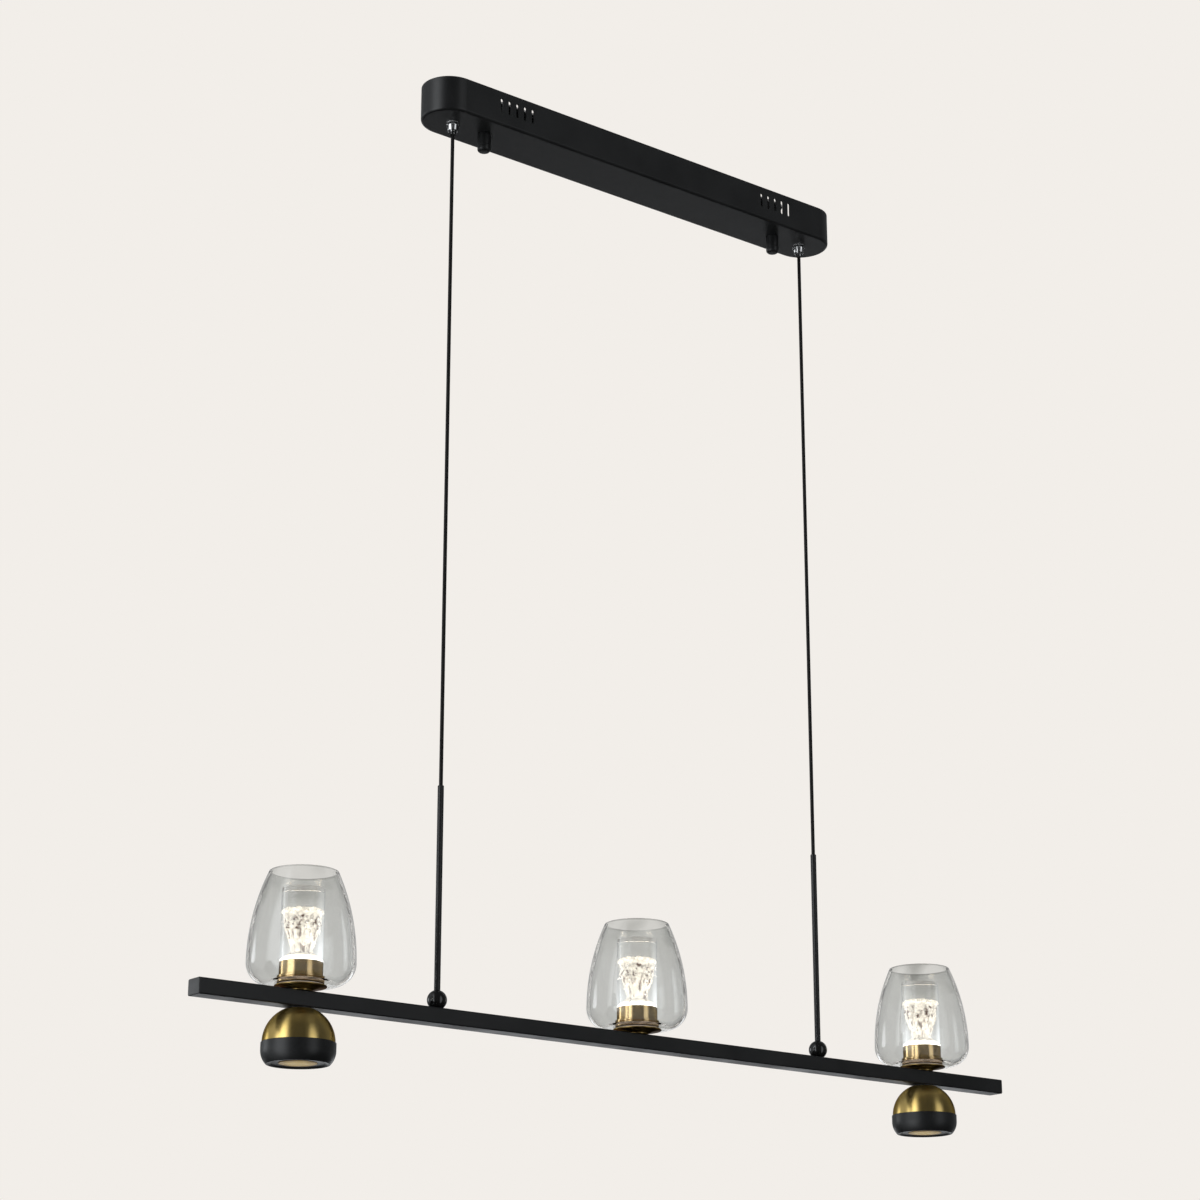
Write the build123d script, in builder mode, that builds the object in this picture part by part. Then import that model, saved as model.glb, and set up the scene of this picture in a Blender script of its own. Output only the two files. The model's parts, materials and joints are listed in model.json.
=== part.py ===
from build123d import *
import math
import os

os.makedirs("parts", exist_ok=True)

# Two-cable pendant light with three upward glass lamps and two downward spots on one bar.
# The ceiling is z = 0, X runs along the bar, Z points up. All sizes are in millimetres.

# Overall layout
bar_drop = 960.0            # ceiling to the top of the bar
cable_spacing = 480.0
lamp_end_margin = 110.0     # outer lamp to the end of the bar
thread_clearance = 0.05     # radial, a screwed or sliding metal fit
hole_clearance = 0.2        # radial, a bolt or tube through sheet metal

# Bar
bar_length = 1000.0
bar_width = 20.0
bar_height = 15.0
bar_wall = 1.2
bar_corner_radius = 1.5
cap_plate = 2.0             # thickness of an end cap outside the tube
cap_plug = 10.0             # depth of an end cap inside the tube
cap_clearance = 0.1

# Canopy
canopy_width = 60.0
canopy_height = 38.0
canopy_wall = 1.5
canopy_edge_radius = 3.0
canopy_end_margin = 34.0    # cable exit to the end of the canopy
vent_width = 3.0
vent_height = 16.0
vent_pitch = 10.0
vent_count = 5
vent_drop = 16.0            # ceiling to the middle of a vent
vent_inset = 61.0           # cable exit to the middle of a group of vents

# Bracket, studs and cap nuts
bracket_width = 24.0
bracket_thickness = 2.0
bracket_overhang = 12.0     # bracket past the stud
screw_spacing = 120.0
screw_slot_width = 5.5
screw_slot_length = 24.0
stud_diameter = 4.0
stud_inset = 40.0           # cable exit to the stud
stud_grip = 13.0            # stud inside the cap nut
stud_nut_flats = 7.0
stud_nut_height = 3.2
cap_nut_diameter = 14.0
cap_nut_length = 20.0
cap_nut_edge_radius = 4.0
cap_nut_bore_spare = 2.0    # bore past the end of the stud

# Driver and terminal block
driver_length = 150.0
driver_width = 40.0
driver_height = 20.0
driver_corner_radius = 3.0
driver_lid_groove = 0.8
driver_pad_thickness = 1.0
driver_pad_margin = 6.0
terminal_gap = 27.0         # driver to terminal block
terminal_poles = 3
terminal_pitch = 8.5
terminal_depth = 16.0
terminal_height = 12.0
terminal_bore = 4.0
terminal_screw_bore = 3.0
terminal_edge = 1.0

# Cable and grippers
cable_diameter = 3.8
cable_clearance = 0.3       # radial, in the bores of the gripper
gripper_stem_diameter = 10.0
gripper_stem_length = 8.0   # from the canopy's underside upwards
gripper_nut_flats = 14.0
gripper_nut_height = 3.5
gripper_collar_diameter = 14.0
gripper_collar_height = 3.0
gripper_barrel_diameter = 13.0
gripper_tip_diameter = 10.6
gripper_tip_floor = 2.0
gripper_roof = 1.2
chamber_taper = 0.6         # radial
ball_diameter = 2.4
ball_count = 3
ball_clearance = 0.06
plunger_diameter = 7.0
plunger_flange_height = 1.0
plunger_show = 4.0          # sleeve below the gripper's tip
plunger_stroke = 2.0
chamber_spare = 0.4
swing_gap = 0.4             # sleeve to the rounded top of the cable
tail_bend_radius = 10.0
tail_sweep_radius = 30.0
tail_rise = 1.0             # straight cable above the gripper
tail_offset = 13.0          # sideways, past the stud
tail_stud_lead = 8.0        # along the canopy, ahead of the stud

# Rods and balls
rod_diameter = 6.0
rod_bore = 4.2
rod_length = 215.0          # above the bar
rod_tail = 1.0              # below its nut
rod_nut_flats = 10.0
rod_nut_height = 3.0
rod_top_gap = 0.3           # rod to cable
knob_diameter = 19.0
knob_flat_diameter = 9.0
harness_diameter = 3.0
harness_lift = 0.05
harness_end_gap = 6.0       # harness to an outer nipple

# Nipples
nipple_diameter = 10.0
nipple_bore = 7.0
nipple_tail = 1.0           # past its nut
nipple_nut_flats = 14.0
nipple_nut_height = 3.0

# Upward lamp
seat_diameter = 48.0
seat_foot_diameter = 22.0
seat_foot_height = 1.0
seat_height = 5.0
seat_rim_height = 1.0
seat_hollow = 1.0           # how far the flare bows in
gasket_overhang = 0.5       # gasket past the clamp ring
gasket_thickness = 0.8
glass_diameter = 100.0
glass_height = 105.0
glass_rim_diameter = 63.0
glass_corner_radius = 20.0
glass_wall = 3.0
glass_rim_rounding = 0.4    # share of the wall
ring_diameter = 43.0
ring_height = 4.4
ring_groove = 0.8
cup_diameter = 40.0
cup_height = 13.0
cup_wall = 1.8
cup_floor = 2.0
cup_ledge = 1.6             # shelf for the light source
board_thickness = 1.6
board_drop = 1.8            # cup's rim to the top of the board
board_clearance = 0.1
emitter_diameter = 18.0
emitter_height = 1.0
column_height = 68.0
column_inset = 0.2
column_edge_radius = 1.5
core_base_diameter = 32.0
core_base_height = 4.0
core_flare_slope = 0.2      # rise over run where the base starts to flare in
core_waist_diameter = 12.5
core_waist_rise = 11.0      # board to waist
core_shoulder_diameter = 22.0
core_shoulder_rise = 34.0
core_top_diameter = 24.0
core_top_rise = 51.0
core_edge_radius = 4.0
core_clearance = 0.05

# Downward spot
neck_diameter = 21.0
neck_height = 1.4
dome_radius = 33.2
dome_wall = 1.5
dome_flat_diameter = 28.0
dome_crown = 2.0            # thickness of the flat top
bezel_overhang = 0.9        # bezel past the dome
bezel_height = 19.4
bezel_band = 7.0            # straight part of its side
bezel_rim_diameter = 58.0
bezel_lip = 1.5
bezel_recess_diameter = 49.0
bezel_recess_depth = 1.2    # rim to the flat ring round the lens
bezel_throat_diameter = 35.0
bezel_throat_land = 0.6
bezel_chamber = 12.2        # lens shelf to module shelf
bezel_wall = 2.4
bezel_spigot_height = 4.0
bezel_clearance = 0.1
lens_ledge = 2.2
lens_flange = 1.6
lens_drop = 1.0             # lens face below its shelf
lens_bulge = 0.5
lens_body_diameter = 33.0
lens_tip_diameter = 16.0
lens_gap = 0.4              # lens to the light source
module_diameter = 54.0
module_plate = 4.0
module_emitter_diameter = 14.0
module_emitter_height = 0.6
fin_count = 5
fin_pitch = 7.0
fin_thickness = 2.0
fin_length = 30.0
fin_height = 9.0

# Levels and places that follow from the sizes above
bar_top = -bar_drop
bar_bottom = bar_top - bar_height
canopy_bottom = -canopy_height
canopy_floor = canopy_bottom + canopy_wall
canopy_length = cable_spacing + 2 * canopy_end_margin
exit_x = cable_spacing / 2
stud_x = exit_x - stud_inset
vent_x = exit_x - vent_inset
cable_radius = cable_diameter / 2
bore_radius = cable_radius + cable_clearance
nipple_hole_radius = nipple_diameter / 2 + hole_clearance
nipple_fit_radius = nipple_diameter / 2 + thread_clearance
gasket_diameter = ring_diameter + 2 * gasket_overhang
lamp_spacing = bar_length / 2 - lamp_end_margin
lamp_places = {"left": -lamp_spacing, "middle": 0.0, "right": lamp_spacing}
spot_places = {"left": -lamp_spacing, "right": lamp_spacing}
cable_places = {"left": -exit_x, "right": exit_x}

# Gripper levels, from the canopy's underside down to the mouth of the release sleeve
chamber_height = plunger_flange_height + ball_diameter + plunger_stroke + chamber_spare
chamber_top = canopy_bottom - gripper_roof
chamber_bottom = chamber_top - chamber_height
gripper_tip = chamber_bottom - gripper_tip_floor
gripper_top = canopy_bottom + gripper_stem_length
chamber_low_radius = cable_radius + ball_diameter + 2 * ball_clearance
chamber_high_radius = chamber_low_radius + chamber_taper
flange_bottom = chamber_bottom + thread_clearance
flange_top = flange_bottom + plunger_flange_height
plunger_mouth = gripper_tip - plunger_show
swing_z = plunger_mouth - swing_gap - cable_radius
rod_top = bar_top + rod_length

# Upward lamp levels, from the bar upwards
seat_top = bar_top + seat_height
glass_bottom = seat_top + gasket_thickness
ring_bottom = glass_bottom + glass_wall
cup_bottom = ring_bottom + ring_height
cup_top = cup_bottom + cup_height
board_top = cup_top - board_drop
board_radius = cup_diameter / 2 - cup_wall - board_clearance

# Downward spot levels, from the bar downwards
dome_top = bar_bottom - neck_height
dome_rise = math.sqrt(dome_radius**2 - (dome_flat_diameter / 2) ** 2)
dome_equator = dome_top - dome_rise
bezel_rim = dome_equator - bezel_height
lens_shelf = bezel_rim + bezel_recess_depth + bezel_throat_land
module_shelf = lens_shelf + bezel_chamber


def upright(x, z):
    """Upright section plane through a lamp's or cable's axis, local Y up from height z."""
    return Plane(origin=(x, 0, z), x_dir=(1, 0, 0), z_dir=(0, -1, 0))


def turning_axis(x):
    """Vertical axis of a turned piece."""
    return Axis((x, 0, 0), (0, 0, 1))


def write(builder, name):
    """Label a finished piece and write its file."""
    builder.part.label = name
    export_step(builder.part, f"parts/{name}.step")


# Canopy: a deep drawn tray with vents through both long walls
with BuildPart() as canopy_shell:
    with BuildSketch(Plane.XY.offset(canopy_bottom)):
        SlotOverall(canopy_length, canopy_width)
    extrude(amount=canopy_height)
    fillet(canopy_shell.faces().sort_by(Axis.Z)[0].edges(), radius=canopy_edge_radius)
    offset(amount=-canopy_wall, openings=canopy_shell.faces().sort_by(Axis.Z)[-1])
    with BuildSketch(Plane.XY.offset(canopy_bottom)):
        with Locations((-exit_x, 0), (exit_x, 0)):
            Circle(gripper_stem_diameter / 2 + hole_clearance)
        with Locations((-stud_x, 0), (stud_x, 0)):
            Circle(stud_diameter / 2 + hole_clearance)
    extrude(amount=canopy_wall, mode=Mode.SUBTRACT)
    with BuildSketch(Plane.XZ):
        with Locations((-vent_x, -vent_drop), (vent_x, -vent_drop)):
            with GridLocations(vent_pitch, 0, vent_count, 1):
                SlotOverall(vent_height, vent_width, rotation=90)
    extrude(amount=canopy_width, both=True, mode=Mode.SUBTRACT)
write(canopy_shell, "canopy_shell")

# Bracket: a flat strip on the ceiling with two screw slots and two stud holes
with BuildPart() as mounting_bracket:
    with BuildSketch(Plane.XY.offset(-bracket_thickness)):
        SlotOverall(2 * (stud_x + bracket_overhang), bracket_width)
        with Locations((-screw_spacing / 2, 0), (screw_spacing / 2, 0)):
            SlotOverall(screw_slot_length, screw_slot_width, mode=Mode.SUBTRACT)
        with Locations((-stud_x, 0), (stud_x, 0)):
            Circle(stud_diameter / 2 + thread_clearance, mode=Mode.SUBTRACT)
    extrude(amount=bracket_thickness)
write(mounting_bracket, "mounting_bracket")

with BuildPart() as bracket_studs:
    with BuildSketch(Plane.XY.offset(canopy_bottom - stud_grip)):
        with Locations((-stud_x, 0), (stud_x, 0)):
            Circle(stud_diameter / 2)
    extrude(amount=canopy_height + stud_grip)
write(bracket_studs, "bracket_studs")

with BuildPart() as stud_nuts:
    with BuildSketch(Plane.XY.offset(-bracket_thickness)):
        with Locations((-stud_x, 0), (stud_x, 0)):
            RegularPolygon(stud_nut_flats / 2, 6, major_radius=False)
            Circle(stud_diameter / 2 + thread_clearance, mode=Mode.SUBTRACT)
    extrude(amount=-stud_nut_height)
write(stud_nuts, "stud_nuts")

# Cap nuts: round nuts with a domed end, screwed up against the canopy
with BuildPart() as cap_nuts:
    with BuildSketch(Plane.XY.offset(canopy_bottom)):
        with Locations((-stud_x, 0), (stud_x, 0)):
            Circle(cap_nut_diameter / 2)
    extrude(amount=-cap_nut_length)
    fillet(cap_nuts.edges().group_by(Axis.Z)[0], radius=cap_nut_edge_radius)
    with BuildSketch(Plane.XY.offset(canopy_bottom)):
        with Locations((-stud_x, 0), (stud_x, 0)):
            Circle(stud_diameter / 2 + thread_clearance)
    extrude(amount=-stud_grip - cap_nut_bore_spare, mode=Mode.SUBTRACT)
write(cap_nuts, "cap_nuts")

# Driver: a closed plastic case with a groove under its lid, on an adhesive pad
driver_bottom = canopy_floor + driver_pad_thickness
driver_lid_z = driver_bottom + driver_height - driver_corner_radius - driver_lid_groove
with BuildPart() as led_driver:
    with BuildSketch(Plane.XY.offset(driver_bottom)):
        RectangleRounded(driver_length, driver_width, driver_corner_radius)
    extrude(amount=driver_height)
    fillet(led_driver.faces().sort_by(Axis.Z)[-1].edges(), radius=driver_corner_radius / 2)
    with BuildSketch(Plane.XY.offset(driver_lid_z)):
        RectangleRounded(driver_length, driver_width, driver_corner_radius)
        RectangleRounded(
            driver_length - 2 * driver_lid_groove,
            driver_width - 2 * driver_lid_groove,
            driver_corner_radius - driver_lid_groove,
            mode=Mode.SUBTRACT,
        )
    extrude(amount=driver_lid_groove, mode=Mode.SUBTRACT)
write(led_driver, "led_driver")

with BuildPart() as driver_pad:
    with BuildSketch(Plane.XY.offset(canopy_floor)):
        Rectangle(driver_length - 2 * driver_pad_margin, driver_width - 2 * driver_pad_margin)
    extrude(amount=driver_pad_thickness)
write(driver_pad, "driver_pad")

# Terminal block: hangs under the bracket, wire entries from both sides, screws from below
terminal_length = terminal_poles * terminal_pitch
terminal_x = -(driver_length + terminal_length) / 2 - terminal_gap
terminal_middle = -bracket_thickness - terminal_height / 2
with BuildPart() as terminal_block:
    with BuildSketch(Plane.XY.offset(-bracket_thickness)):
        with Locations((terminal_x, 0)):
            Rectangle(terminal_length, terminal_depth)
    extrude(amount=-terminal_height)
    chamfer(terminal_block.faces().sort_by(Axis.Z)[0].edges(), length=terminal_edge)
    with BuildSketch(Plane.XZ):
        with Locations((terminal_x, terminal_middle)):
            with GridLocations(terminal_pitch, 0, terminal_poles, 1):
                Circle(terminal_bore / 2)
    extrude(amount=terminal_depth, both=True, mode=Mode.SUBTRACT)
    with BuildSketch(Plane.XY.offset(-bracket_thickness - terminal_height)):
        with Locations((terminal_x, 0)):
            with GridLocations(terminal_pitch, terminal_depth / 2, terminal_poles, 2):
                Circle(terminal_screw_bore / 2)
    extrude(amount=terminal_height / 2, mode=Mode.SUBTRACT)
write(terminal_block, "terminal_block")


def gripper_body(x):
    """Cable gripper: threaded stem, collar and tapered barrel round a conical ball chamber."""
    with BuildPart() as body:
        with BuildSketch(upright(x, 0)):
            with BuildLine():
                Polyline(
                    (bore_radius, gripper_top),
                    (gripper_stem_diameter / 2, gripper_top),
                    (gripper_stem_diameter / 2, canopy_bottom),
                    (gripper_collar_diameter / 2, canopy_bottom),
                    (gripper_collar_diameter / 2, canopy_bottom - gripper_collar_height),
                    (gripper_barrel_diameter / 2, canopy_bottom - gripper_collar_height),
                    (gripper_tip_diameter / 2, gripper_tip),
                    (plunger_diameter / 2 + thread_clearance, gripper_tip),
                    (plunger_diameter / 2 + thread_clearance, chamber_bottom),
                    (chamber_low_radius, chamber_bottom),
                    (chamber_high_radius, chamber_top),
                    (bore_radius, chamber_top),
                    close=True,
                )
            make_face()
        revolve(axis=turning_axis(x))
    return body


def gripper_plunger(x):
    """Release sleeve: a flange inside the chamber and a nose that shows below the tip."""
    with BuildPart() as plunger:
        with BuildSketch(upright(x, 0)):
            with BuildLine():
                Polyline(
                    (bore_radius, flange_top),
                    (chamber_low_radius - ball_clearance, flange_top),
                    (chamber_low_radius - ball_clearance, flange_bottom),
                    (plunger_diameter / 2, flange_bottom),
                    (plunger_diameter / 2, plunger_mouth),
                    (bore_radius, plunger_mouth),
                    close=True,
                )
            make_face()
        revolve(axis=turning_axis(x))
    return plunger


def gripper_balls(x):
    """Clamping balls, evenly spaced round the cable on top of the sleeve's flange."""
    orbit = cable_radius + ball_clearance + ball_diameter / 2
    with BuildPart() as balls:
        with Locations((x, 0, flange_top + ball_diameter / 2)):
            with PolarLocations(orbit, ball_count):
                Sphere(ball_diameter / 2)
    return balls


def cable_tail(x):
    """Cable from the sleeve's mouth up through the gripper, then past the stud to the driver."""
    side = math.copysign(1, x)
    run_z = gripper_top + tail_rise + tail_bend_radius
    route = [
        (x, 0, plunger_mouth),
        (x, 0, run_z),
        (side * (stud_x + tail_stud_lead), tail_offset, run_z),
        (side * driver_length / 2, tail_offset, run_z),
    ]
    with BuildPart() as tail:
        with BuildLine() as path:
            FilletPolyline(*route, radius=[tail_bend_radius, tail_sweep_radius])
        with BuildSketch(Plane.XY.offset(plunger_mouth)):
            with Locations((x, 0)):
                Circle(cable_radius)
        sweep()
    swept_length = tail.part.volume / (math.pi * cable_radius**2)
    print(f"cable tail: path {path.wire().length:.2f} mm, volume over section {swept_length:.2f} mm,"
          f" radii {tail_bend_radius:.1f} and {tail_sweep_radius:.1f} mm")
    return tail


def suspension_cable(x):
    """Taut cable from its rounded top below the gripper to the top of the rod."""
    lower_end = rod_top + rod_top_gap
    with BuildPart() as cable:
        with BuildSketch(upright(x, 0)):
            with BuildLine():
                Line((0, swing_z + cable_radius), (0, lower_end))
                Line((0, lower_end), (cable_radius, lower_end))
                Line((cable_radius, lower_end), (cable_radius, swing_z))
                CenterArc((0, swing_z), cable_radius, 0, 90)
            make_face()
        revolve(axis=turning_axis(x))
    print(f"suspension cable: {swing_z - lower_end:.1f} mm from pivot to rod, straight, no bends")
    return cable


def rod(x):
    """Slim tube that stands on the bar and takes the end of the cable."""
    rod_foot = bar_top - bar_wall - rod_nut_height - rod_tail
    with BuildPart() as tube:
        with BuildSketch(Plane.XY.offset(rod_foot)):
            with Locations((x, 0)):
                Circle(rod_diameter / 2)
                Circle(rod_bore / 2, mode=Mode.SUBTRACT)
        extrude(amount=rod_top - rod_foot)
    return tube


def knob(x):
    """Ball at the foot of the rod, cut flat where it sits on the bar and bored for the rod."""
    knob_radius = knob_diameter / 2
    flat_radius = knob_flat_diameter / 2
    fit_radius = rod_diameter / 2 + thread_clearance
    middle = bar_top + math.sqrt(knob_radius**2 - flat_radius**2)
    with BuildPart() as ball:
        with Locations((x, 0, middle)):
            Sphere(knob_radius)
        split(bisect_by=Plane.XY.offset(bar_top), keep=Keep.TOP)
        with BuildSketch(Plane.XY.offset(bar_top)):
            with Locations((x, 0)):
                Circle(fit_radius)
        extrude(amount=knob_diameter, mode=Mode.SUBTRACT)
    return ball


for place, x in cable_places.items():
    write(gripper_body(x), f"gripper_body_{place}")
    write(gripper_plunger(x), f"gripper_plunger_{place}")
    write(gripper_balls(x), f"gripper_balls_{place}")
    write(cable_tail(x), f"cable_tail_{place}")
    write(suspension_cable(x), f"suspension_cable_{place}")
    write(rod(x), f"rod_{place}")
    write(knob(x), f"ball_{place}")

with BuildPart() as gripper_nuts:
    with BuildSketch(Plane.XY.offset(canopy_floor)):
        with Locations((-exit_x, 0), (exit_x, 0)):
            RegularPolygon(gripper_nut_flats / 2, 6, major_radius=False)
            Circle(gripper_stem_diameter / 2 + thread_clearance, mode=Mode.SUBTRACT)
    extrude(amount=gripper_nut_height)
write(gripper_nuts, "gripper_nuts")

# Bar: a rectangular tube drilled for the rods and lamps, with plugs in its ends
inner_width = bar_width - 2 * bar_wall
inner_height = bar_height - 2 * bar_wall
inner_corner_radius = max(bar_corner_radius - bar_wall, bar_wall / 4)
bar_middle = (bar_top + bar_bottom) / 2
with BuildPart() as bar_tube:
    with BuildSketch(Plane.YZ):
        with Locations((0, bar_middle)):
            RectangleRounded(bar_width, bar_height, bar_corner_radius)
            RectangleRounded(inner_width, inner_height, inner_corner_radius, mode=Mode.SUBTRACT)
    extrude(amount=bar_length / 2 - cap_plate, both=True)
    with BuildSketch(Plane.XY.offset(bar_top)):
        with Locations(*[(x, 0) for x in lamp_places.values()]):
            Circle(nipple_hole_radius)
        with Locations(*[(x, 0) for x in cable_places.values()]):
            Circle(rod_diameter / 2 + hole_clearance)
    extrude(amount=-bar_height / 2, mode=Mode.SUBTRACT)
    with BuildSketch(Plane.XY.offset(bar_bottom)):
        with Locations(*[(x, 0) for x in spot_places.values()]):
            Circle(nipple_hole_radius)
    extrude(amount=bar_height / 2, mode=Mode.SUBTRACT)
write(bar_tube, "bar_tube")

for place, side in (("left", -1), ("right", 1)):
    tube_end = side * (bar_length / 2 - cap_plate)
    with BuildPart() as bar_end_cap:
        with BuildSketch(Plane.YZ.offset(tube_end)):
            with Locations((0, bar_middle)):
                RectangleRounded(bar_width, bar_height, bar_corner_radius)
        extrude(amount=side * cap_plate)
        outer_face = bar_end_cap.faces().sort_by(Axis.X)[-1 if side > 0 else 0]
        chamfer(outer_face.edges(), length=cap_plate / 4)
        with BuildSketch(Plane.YZ.offset(tube_end)):
            with Locations((0, bar_middle)):
                Rectangle(
                    inner_width - 2 * cap_clearance - inner_corner_radius,
                    inner_height - 2 * cap_clearance - inner_corner_radius,
                )
        extrude(amount=-side * cap_plug)
    write(bar_end_cap, f"bar_end_cap_{place}")

with BuildPart() as rod_nuts:
    with BuildSketch(Plane.XY.offset(bar_top - bar_wall)):
        with Locations(*[(x, 0) for x in cable_places.values()]):
            RegularPolygon(rod_nut_flats / 2, 6, major_radius=False)
            Circle(rod_diameter / 2 + thread_clearance, mode=Mode.SUBTRACT)
    extrude(amount=-rod_nut_height)
write(rod_nuts, "rod_nuts")

# Harness: a lead on the floor of the bar with a branch up through each rod
harness_radius = harness_diameter / 2
harness_z = bar_bottom + bar_wall + harness_lift + harness_radius
harness_end = lamp_spacing - nipple_diameter / 2 - harness_end_gap
with BuildPart() as bar_harness:
    with BuildSketch(Plane.YZ):
        with Locations((0, harness_z)):
            Circle(harness_radius)
    extrude(amount=harness_end, both=True)
    with BuildSketch(Plane.XY.offset(harness_z)):
        with Locations(*[(x, 0) for x in cable_places.values()]):
            Circle(harness_radius)
    extrude(amount=rod_top - harness_z)
write(bar_harness, "bar_harness")

# Nipples: threaded tubes from inside the bar up into the cups and down into the domes
upper_nipple_foot = bar_top - bar_wall - nipple_nut_height - nipple_tail
upper_nipple_head = cup_bottom + cup_floor + nipple_nut_height + nipple_tail
lower_nipple_head = bar_bottom + bar_wall + nipple_nut_height + nipple_tail
lower_nipple_foot = dome_top - dome_crown - nipple_nut_height - nipple_tail
with BuildPart() as lamp_nipples:
    with BuildSketch(Plane.XY.offset(upper_nipple_foot)):
        with Locations(*[(x, 0) for x in lamp_places.values()]):
            Circle(nipple_diameter / 2)
            Circle(nipple_bore / 2, mode=Mode.SUBTRACT)
    extrude(amount=upper_nipple_head - upper_nipple_foot)
    with BuildSketch(Plane.XY.offset(lower_nipple_foot)):
        with Locations(*[(x, 0) for x in spot_places.values()]):
            Circle(nipple_diameter / 2)
            Circle(nipple_bore / 2, mode=Mode.SUBTRACT)
    extrude(amount=lower_nipple_head - lower_nipple_foot)
write(lamp_nipples, "lamp_nipples")

upper_nut_levels = (bar_top - bar_wall - nipple_nut_height, cup_bottom + cup_floor)
lower_nut_levels = (bar_bottom + bar_wall, dome_top - dome_crown - nipple_nut_height)
with BuildPart() as nipple_nuts:
    for levels, places in ((upper_nut_levels, lamp_places), (lower_nut_levels, spot_places)):
        for level in levels:
            with BuildSketch(Plane.XY.offset(level)):
                with Locations(*[(x, 0) for x in places.values()]):
                    RegularPolygon(nipple_nut_flats / 2, 6, major_radius=False)
                    Circle(nipple_fit_radius, mode=Mode.SUBTRACT)
            extrude(amount=nipple_nut_height)
write(nipple_nuts, "nipple_nuts")


def shade_seat(x):
    """Turned dish on the bar: a small foot, a hollow flare and a thin rim."""
    rim_radius = seat_diameter / 2
    foot_radius = seat_foot_diameter / 2
    rim_z = seat_height - seat_rim_height
    with BuildPart() as seat:
        with BuildSketch(upright(x, bar_top)):
            with BuildLine():
                Line((nipple_fit_radius, 0), (foot_radius, 0))
                Line((foot_radius, 0), (foot_radius, seat_foot_height))
                SagittaArc((foot_radius, seat_foot_height), (rim_radius, rim_z), -seat_hollow)
                Line((rim_radius, rim_z), (rim_radius, seat_height))
                Line((rim_radius, seat_height), (nipple_fit_radius, seat_height))
                Line((nipple_fit_radius, seat_height), (nipple_fit_radius, 0))
            make_face()
        revolve(axis=turning_axis(x))
    return seat


def glass_shade(x):
    """Clear shade of even wall: flat base, round corner, long inward curve to an open rim."""
    corner = glass_corner_radius
    widest = glass_diameter / 2
    base = widest - corner
    rise = glass_height - corner
    draw_in = (glass_diameter - glass_rim_diameter) / 2
    side_radius = (draw_in**2 + rise**2) / (2 * draw_in)
    side_angle = math.degrees(math.asin(rise / side_radius))
    side_middle = (widest - side_radius, corner)
    with BuildPart() as glass:
        with BuildSketch(upright(x, glass_bottom)):
            with BuildLine():
                Line((nipple_hole_radius, 0), (base, 0))
                CenterArc((base, corner), corner, -90, 90)
                outside = CenterArc(side_middle, side_radius, 0, side_angle)
                inside = CenterArc(side_middle, side_radius - glass_wall, 0, side_angle)
                Line(outside @ 1, inside @ 1)
                CenterArc((base, corner), corner - glass_wall, -90, 90)
                Line((base, glass_wall), (nipple_hole_radius, glass_wall))
                Line((nipple_hole_radius, glass_wall), (nipple_hole_radius, 0))
            make_face()
        revolve(axis=turning_axis(x))
        fillet(glass.edges().sort_by(Axis.Z)[-2:], radius=glass_wall * glass_rim_rounding)
    return glass


def lamp_cup(x):
    """Turned cup: floor on the clamp ring, a shelf for the light source, a thin rim."""
    radius = cup_diameter / 2
    bore = radius - cup_wall
    shelf = board_top - board_thickness - cup_bottom
    with BuildPart() as cup:
        with BuildSketch(upright(x, cup_bottom)):
            with BuildLine():
                Polyline(
                    (nipple_fit_radius, 0),
                    (radius, 0),
                    (radius, cup_height),
                    (bore, cup_height),
                    (bore, shelf),
                    (bore - cup_ledge, shelf),
                    (bore - cup_ledge, cup_floor),
                    (nipple_fit_radius, cup_floor),
                    close=True,
                )
            make_face()
        revolve(axis=turning_axis(x))
    return cup


def led_board(x):
    """Round board on the cup's shelf with a raised emitter in the middle."""
    with BuildPart() as board:
        with BuildSketch(Plane.XY.offset(board_top)):
            with Locations((x, 0)):
                Circle(board_radius)
        extrude(amount=-board_thickness)
        with BuildSketch(Plane.XY.offset(board_top)):
            with Locations((x, 0)):
                Circle(emitter_diameter / 2)
        extrude(amount=emitter_height)
    return board


def core_section(x, gap):
    """Half section of the bubble cone, grown by a gap for the cavity that holds it."""
    base = core_base_diameter / 2 + gap
    waist = core_waist_diameter / 2 + gap
    shoulder = core_shoulder_diameter / 2 + gap
    top = core_top_diameter / 2 + gap
    top_z = core_top_rise + gap
    edge = core_edge_radius
    with BuildSketch(upright(x, board_top)) as section:
        with BuildLine():
            Line((0, 0), (base, 0))
            Line((base, 0), (base, core_base_height))
            TangentArc(
                (base, core_base_height), (waist, core_waist_rise), tangent=(-1, core_flare_slope)
            )
            Line((waist, core_waist_rise), (shoulder, core_shoulder_rise))
            Line((shoulder, core_shoulder_rise), (top, top_z - edge))
            CenterArc((top - edge, top_z - edge), edge, 0, 90)
            Line((top - edge, top_z), (0, top_z))
            Line((0, top_z), (0, 0))
        make_face()
    return section


def crystal_column(x):
    """Clear cylinder on the cup's rim with a cone-shaped cavity cast in from below."""
    radius = cup_diameter / 2 - column_inset
    cavity = core_section(x, core_clearance)
    with BuildPart() as column:
        with BuildSketch(Plane.XY.offset(cup_top)):
            with Locations((x, 0)):
                Circle(radius)
        extrude(amount=column_height)
        fillet(column.edges().sort_by(Axis.Z)[-1], radius=column_edge_radius)
        revolve(cavity.sketch, axis=turning_axis(x), mode=Mode.SUBTRACT)
    return column


def bubble_core(x):
    """Cone of bubbles that stands on the board, hollow over the emitter."""
    section = core_section(x, 0)
    with BuildPart() as core:
        revolve(section.sketch, axis=turning_axis(x))
        with BuildSketch(Plane.XY.offset(board_top)):
            with Locations((x, 0)):
                Circle(emitter_diameter / 2 + board_clearance)
        extrude(amount=emitter_height + board_clearance, mode=Mode.SUBTRACT)
    return core


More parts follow.
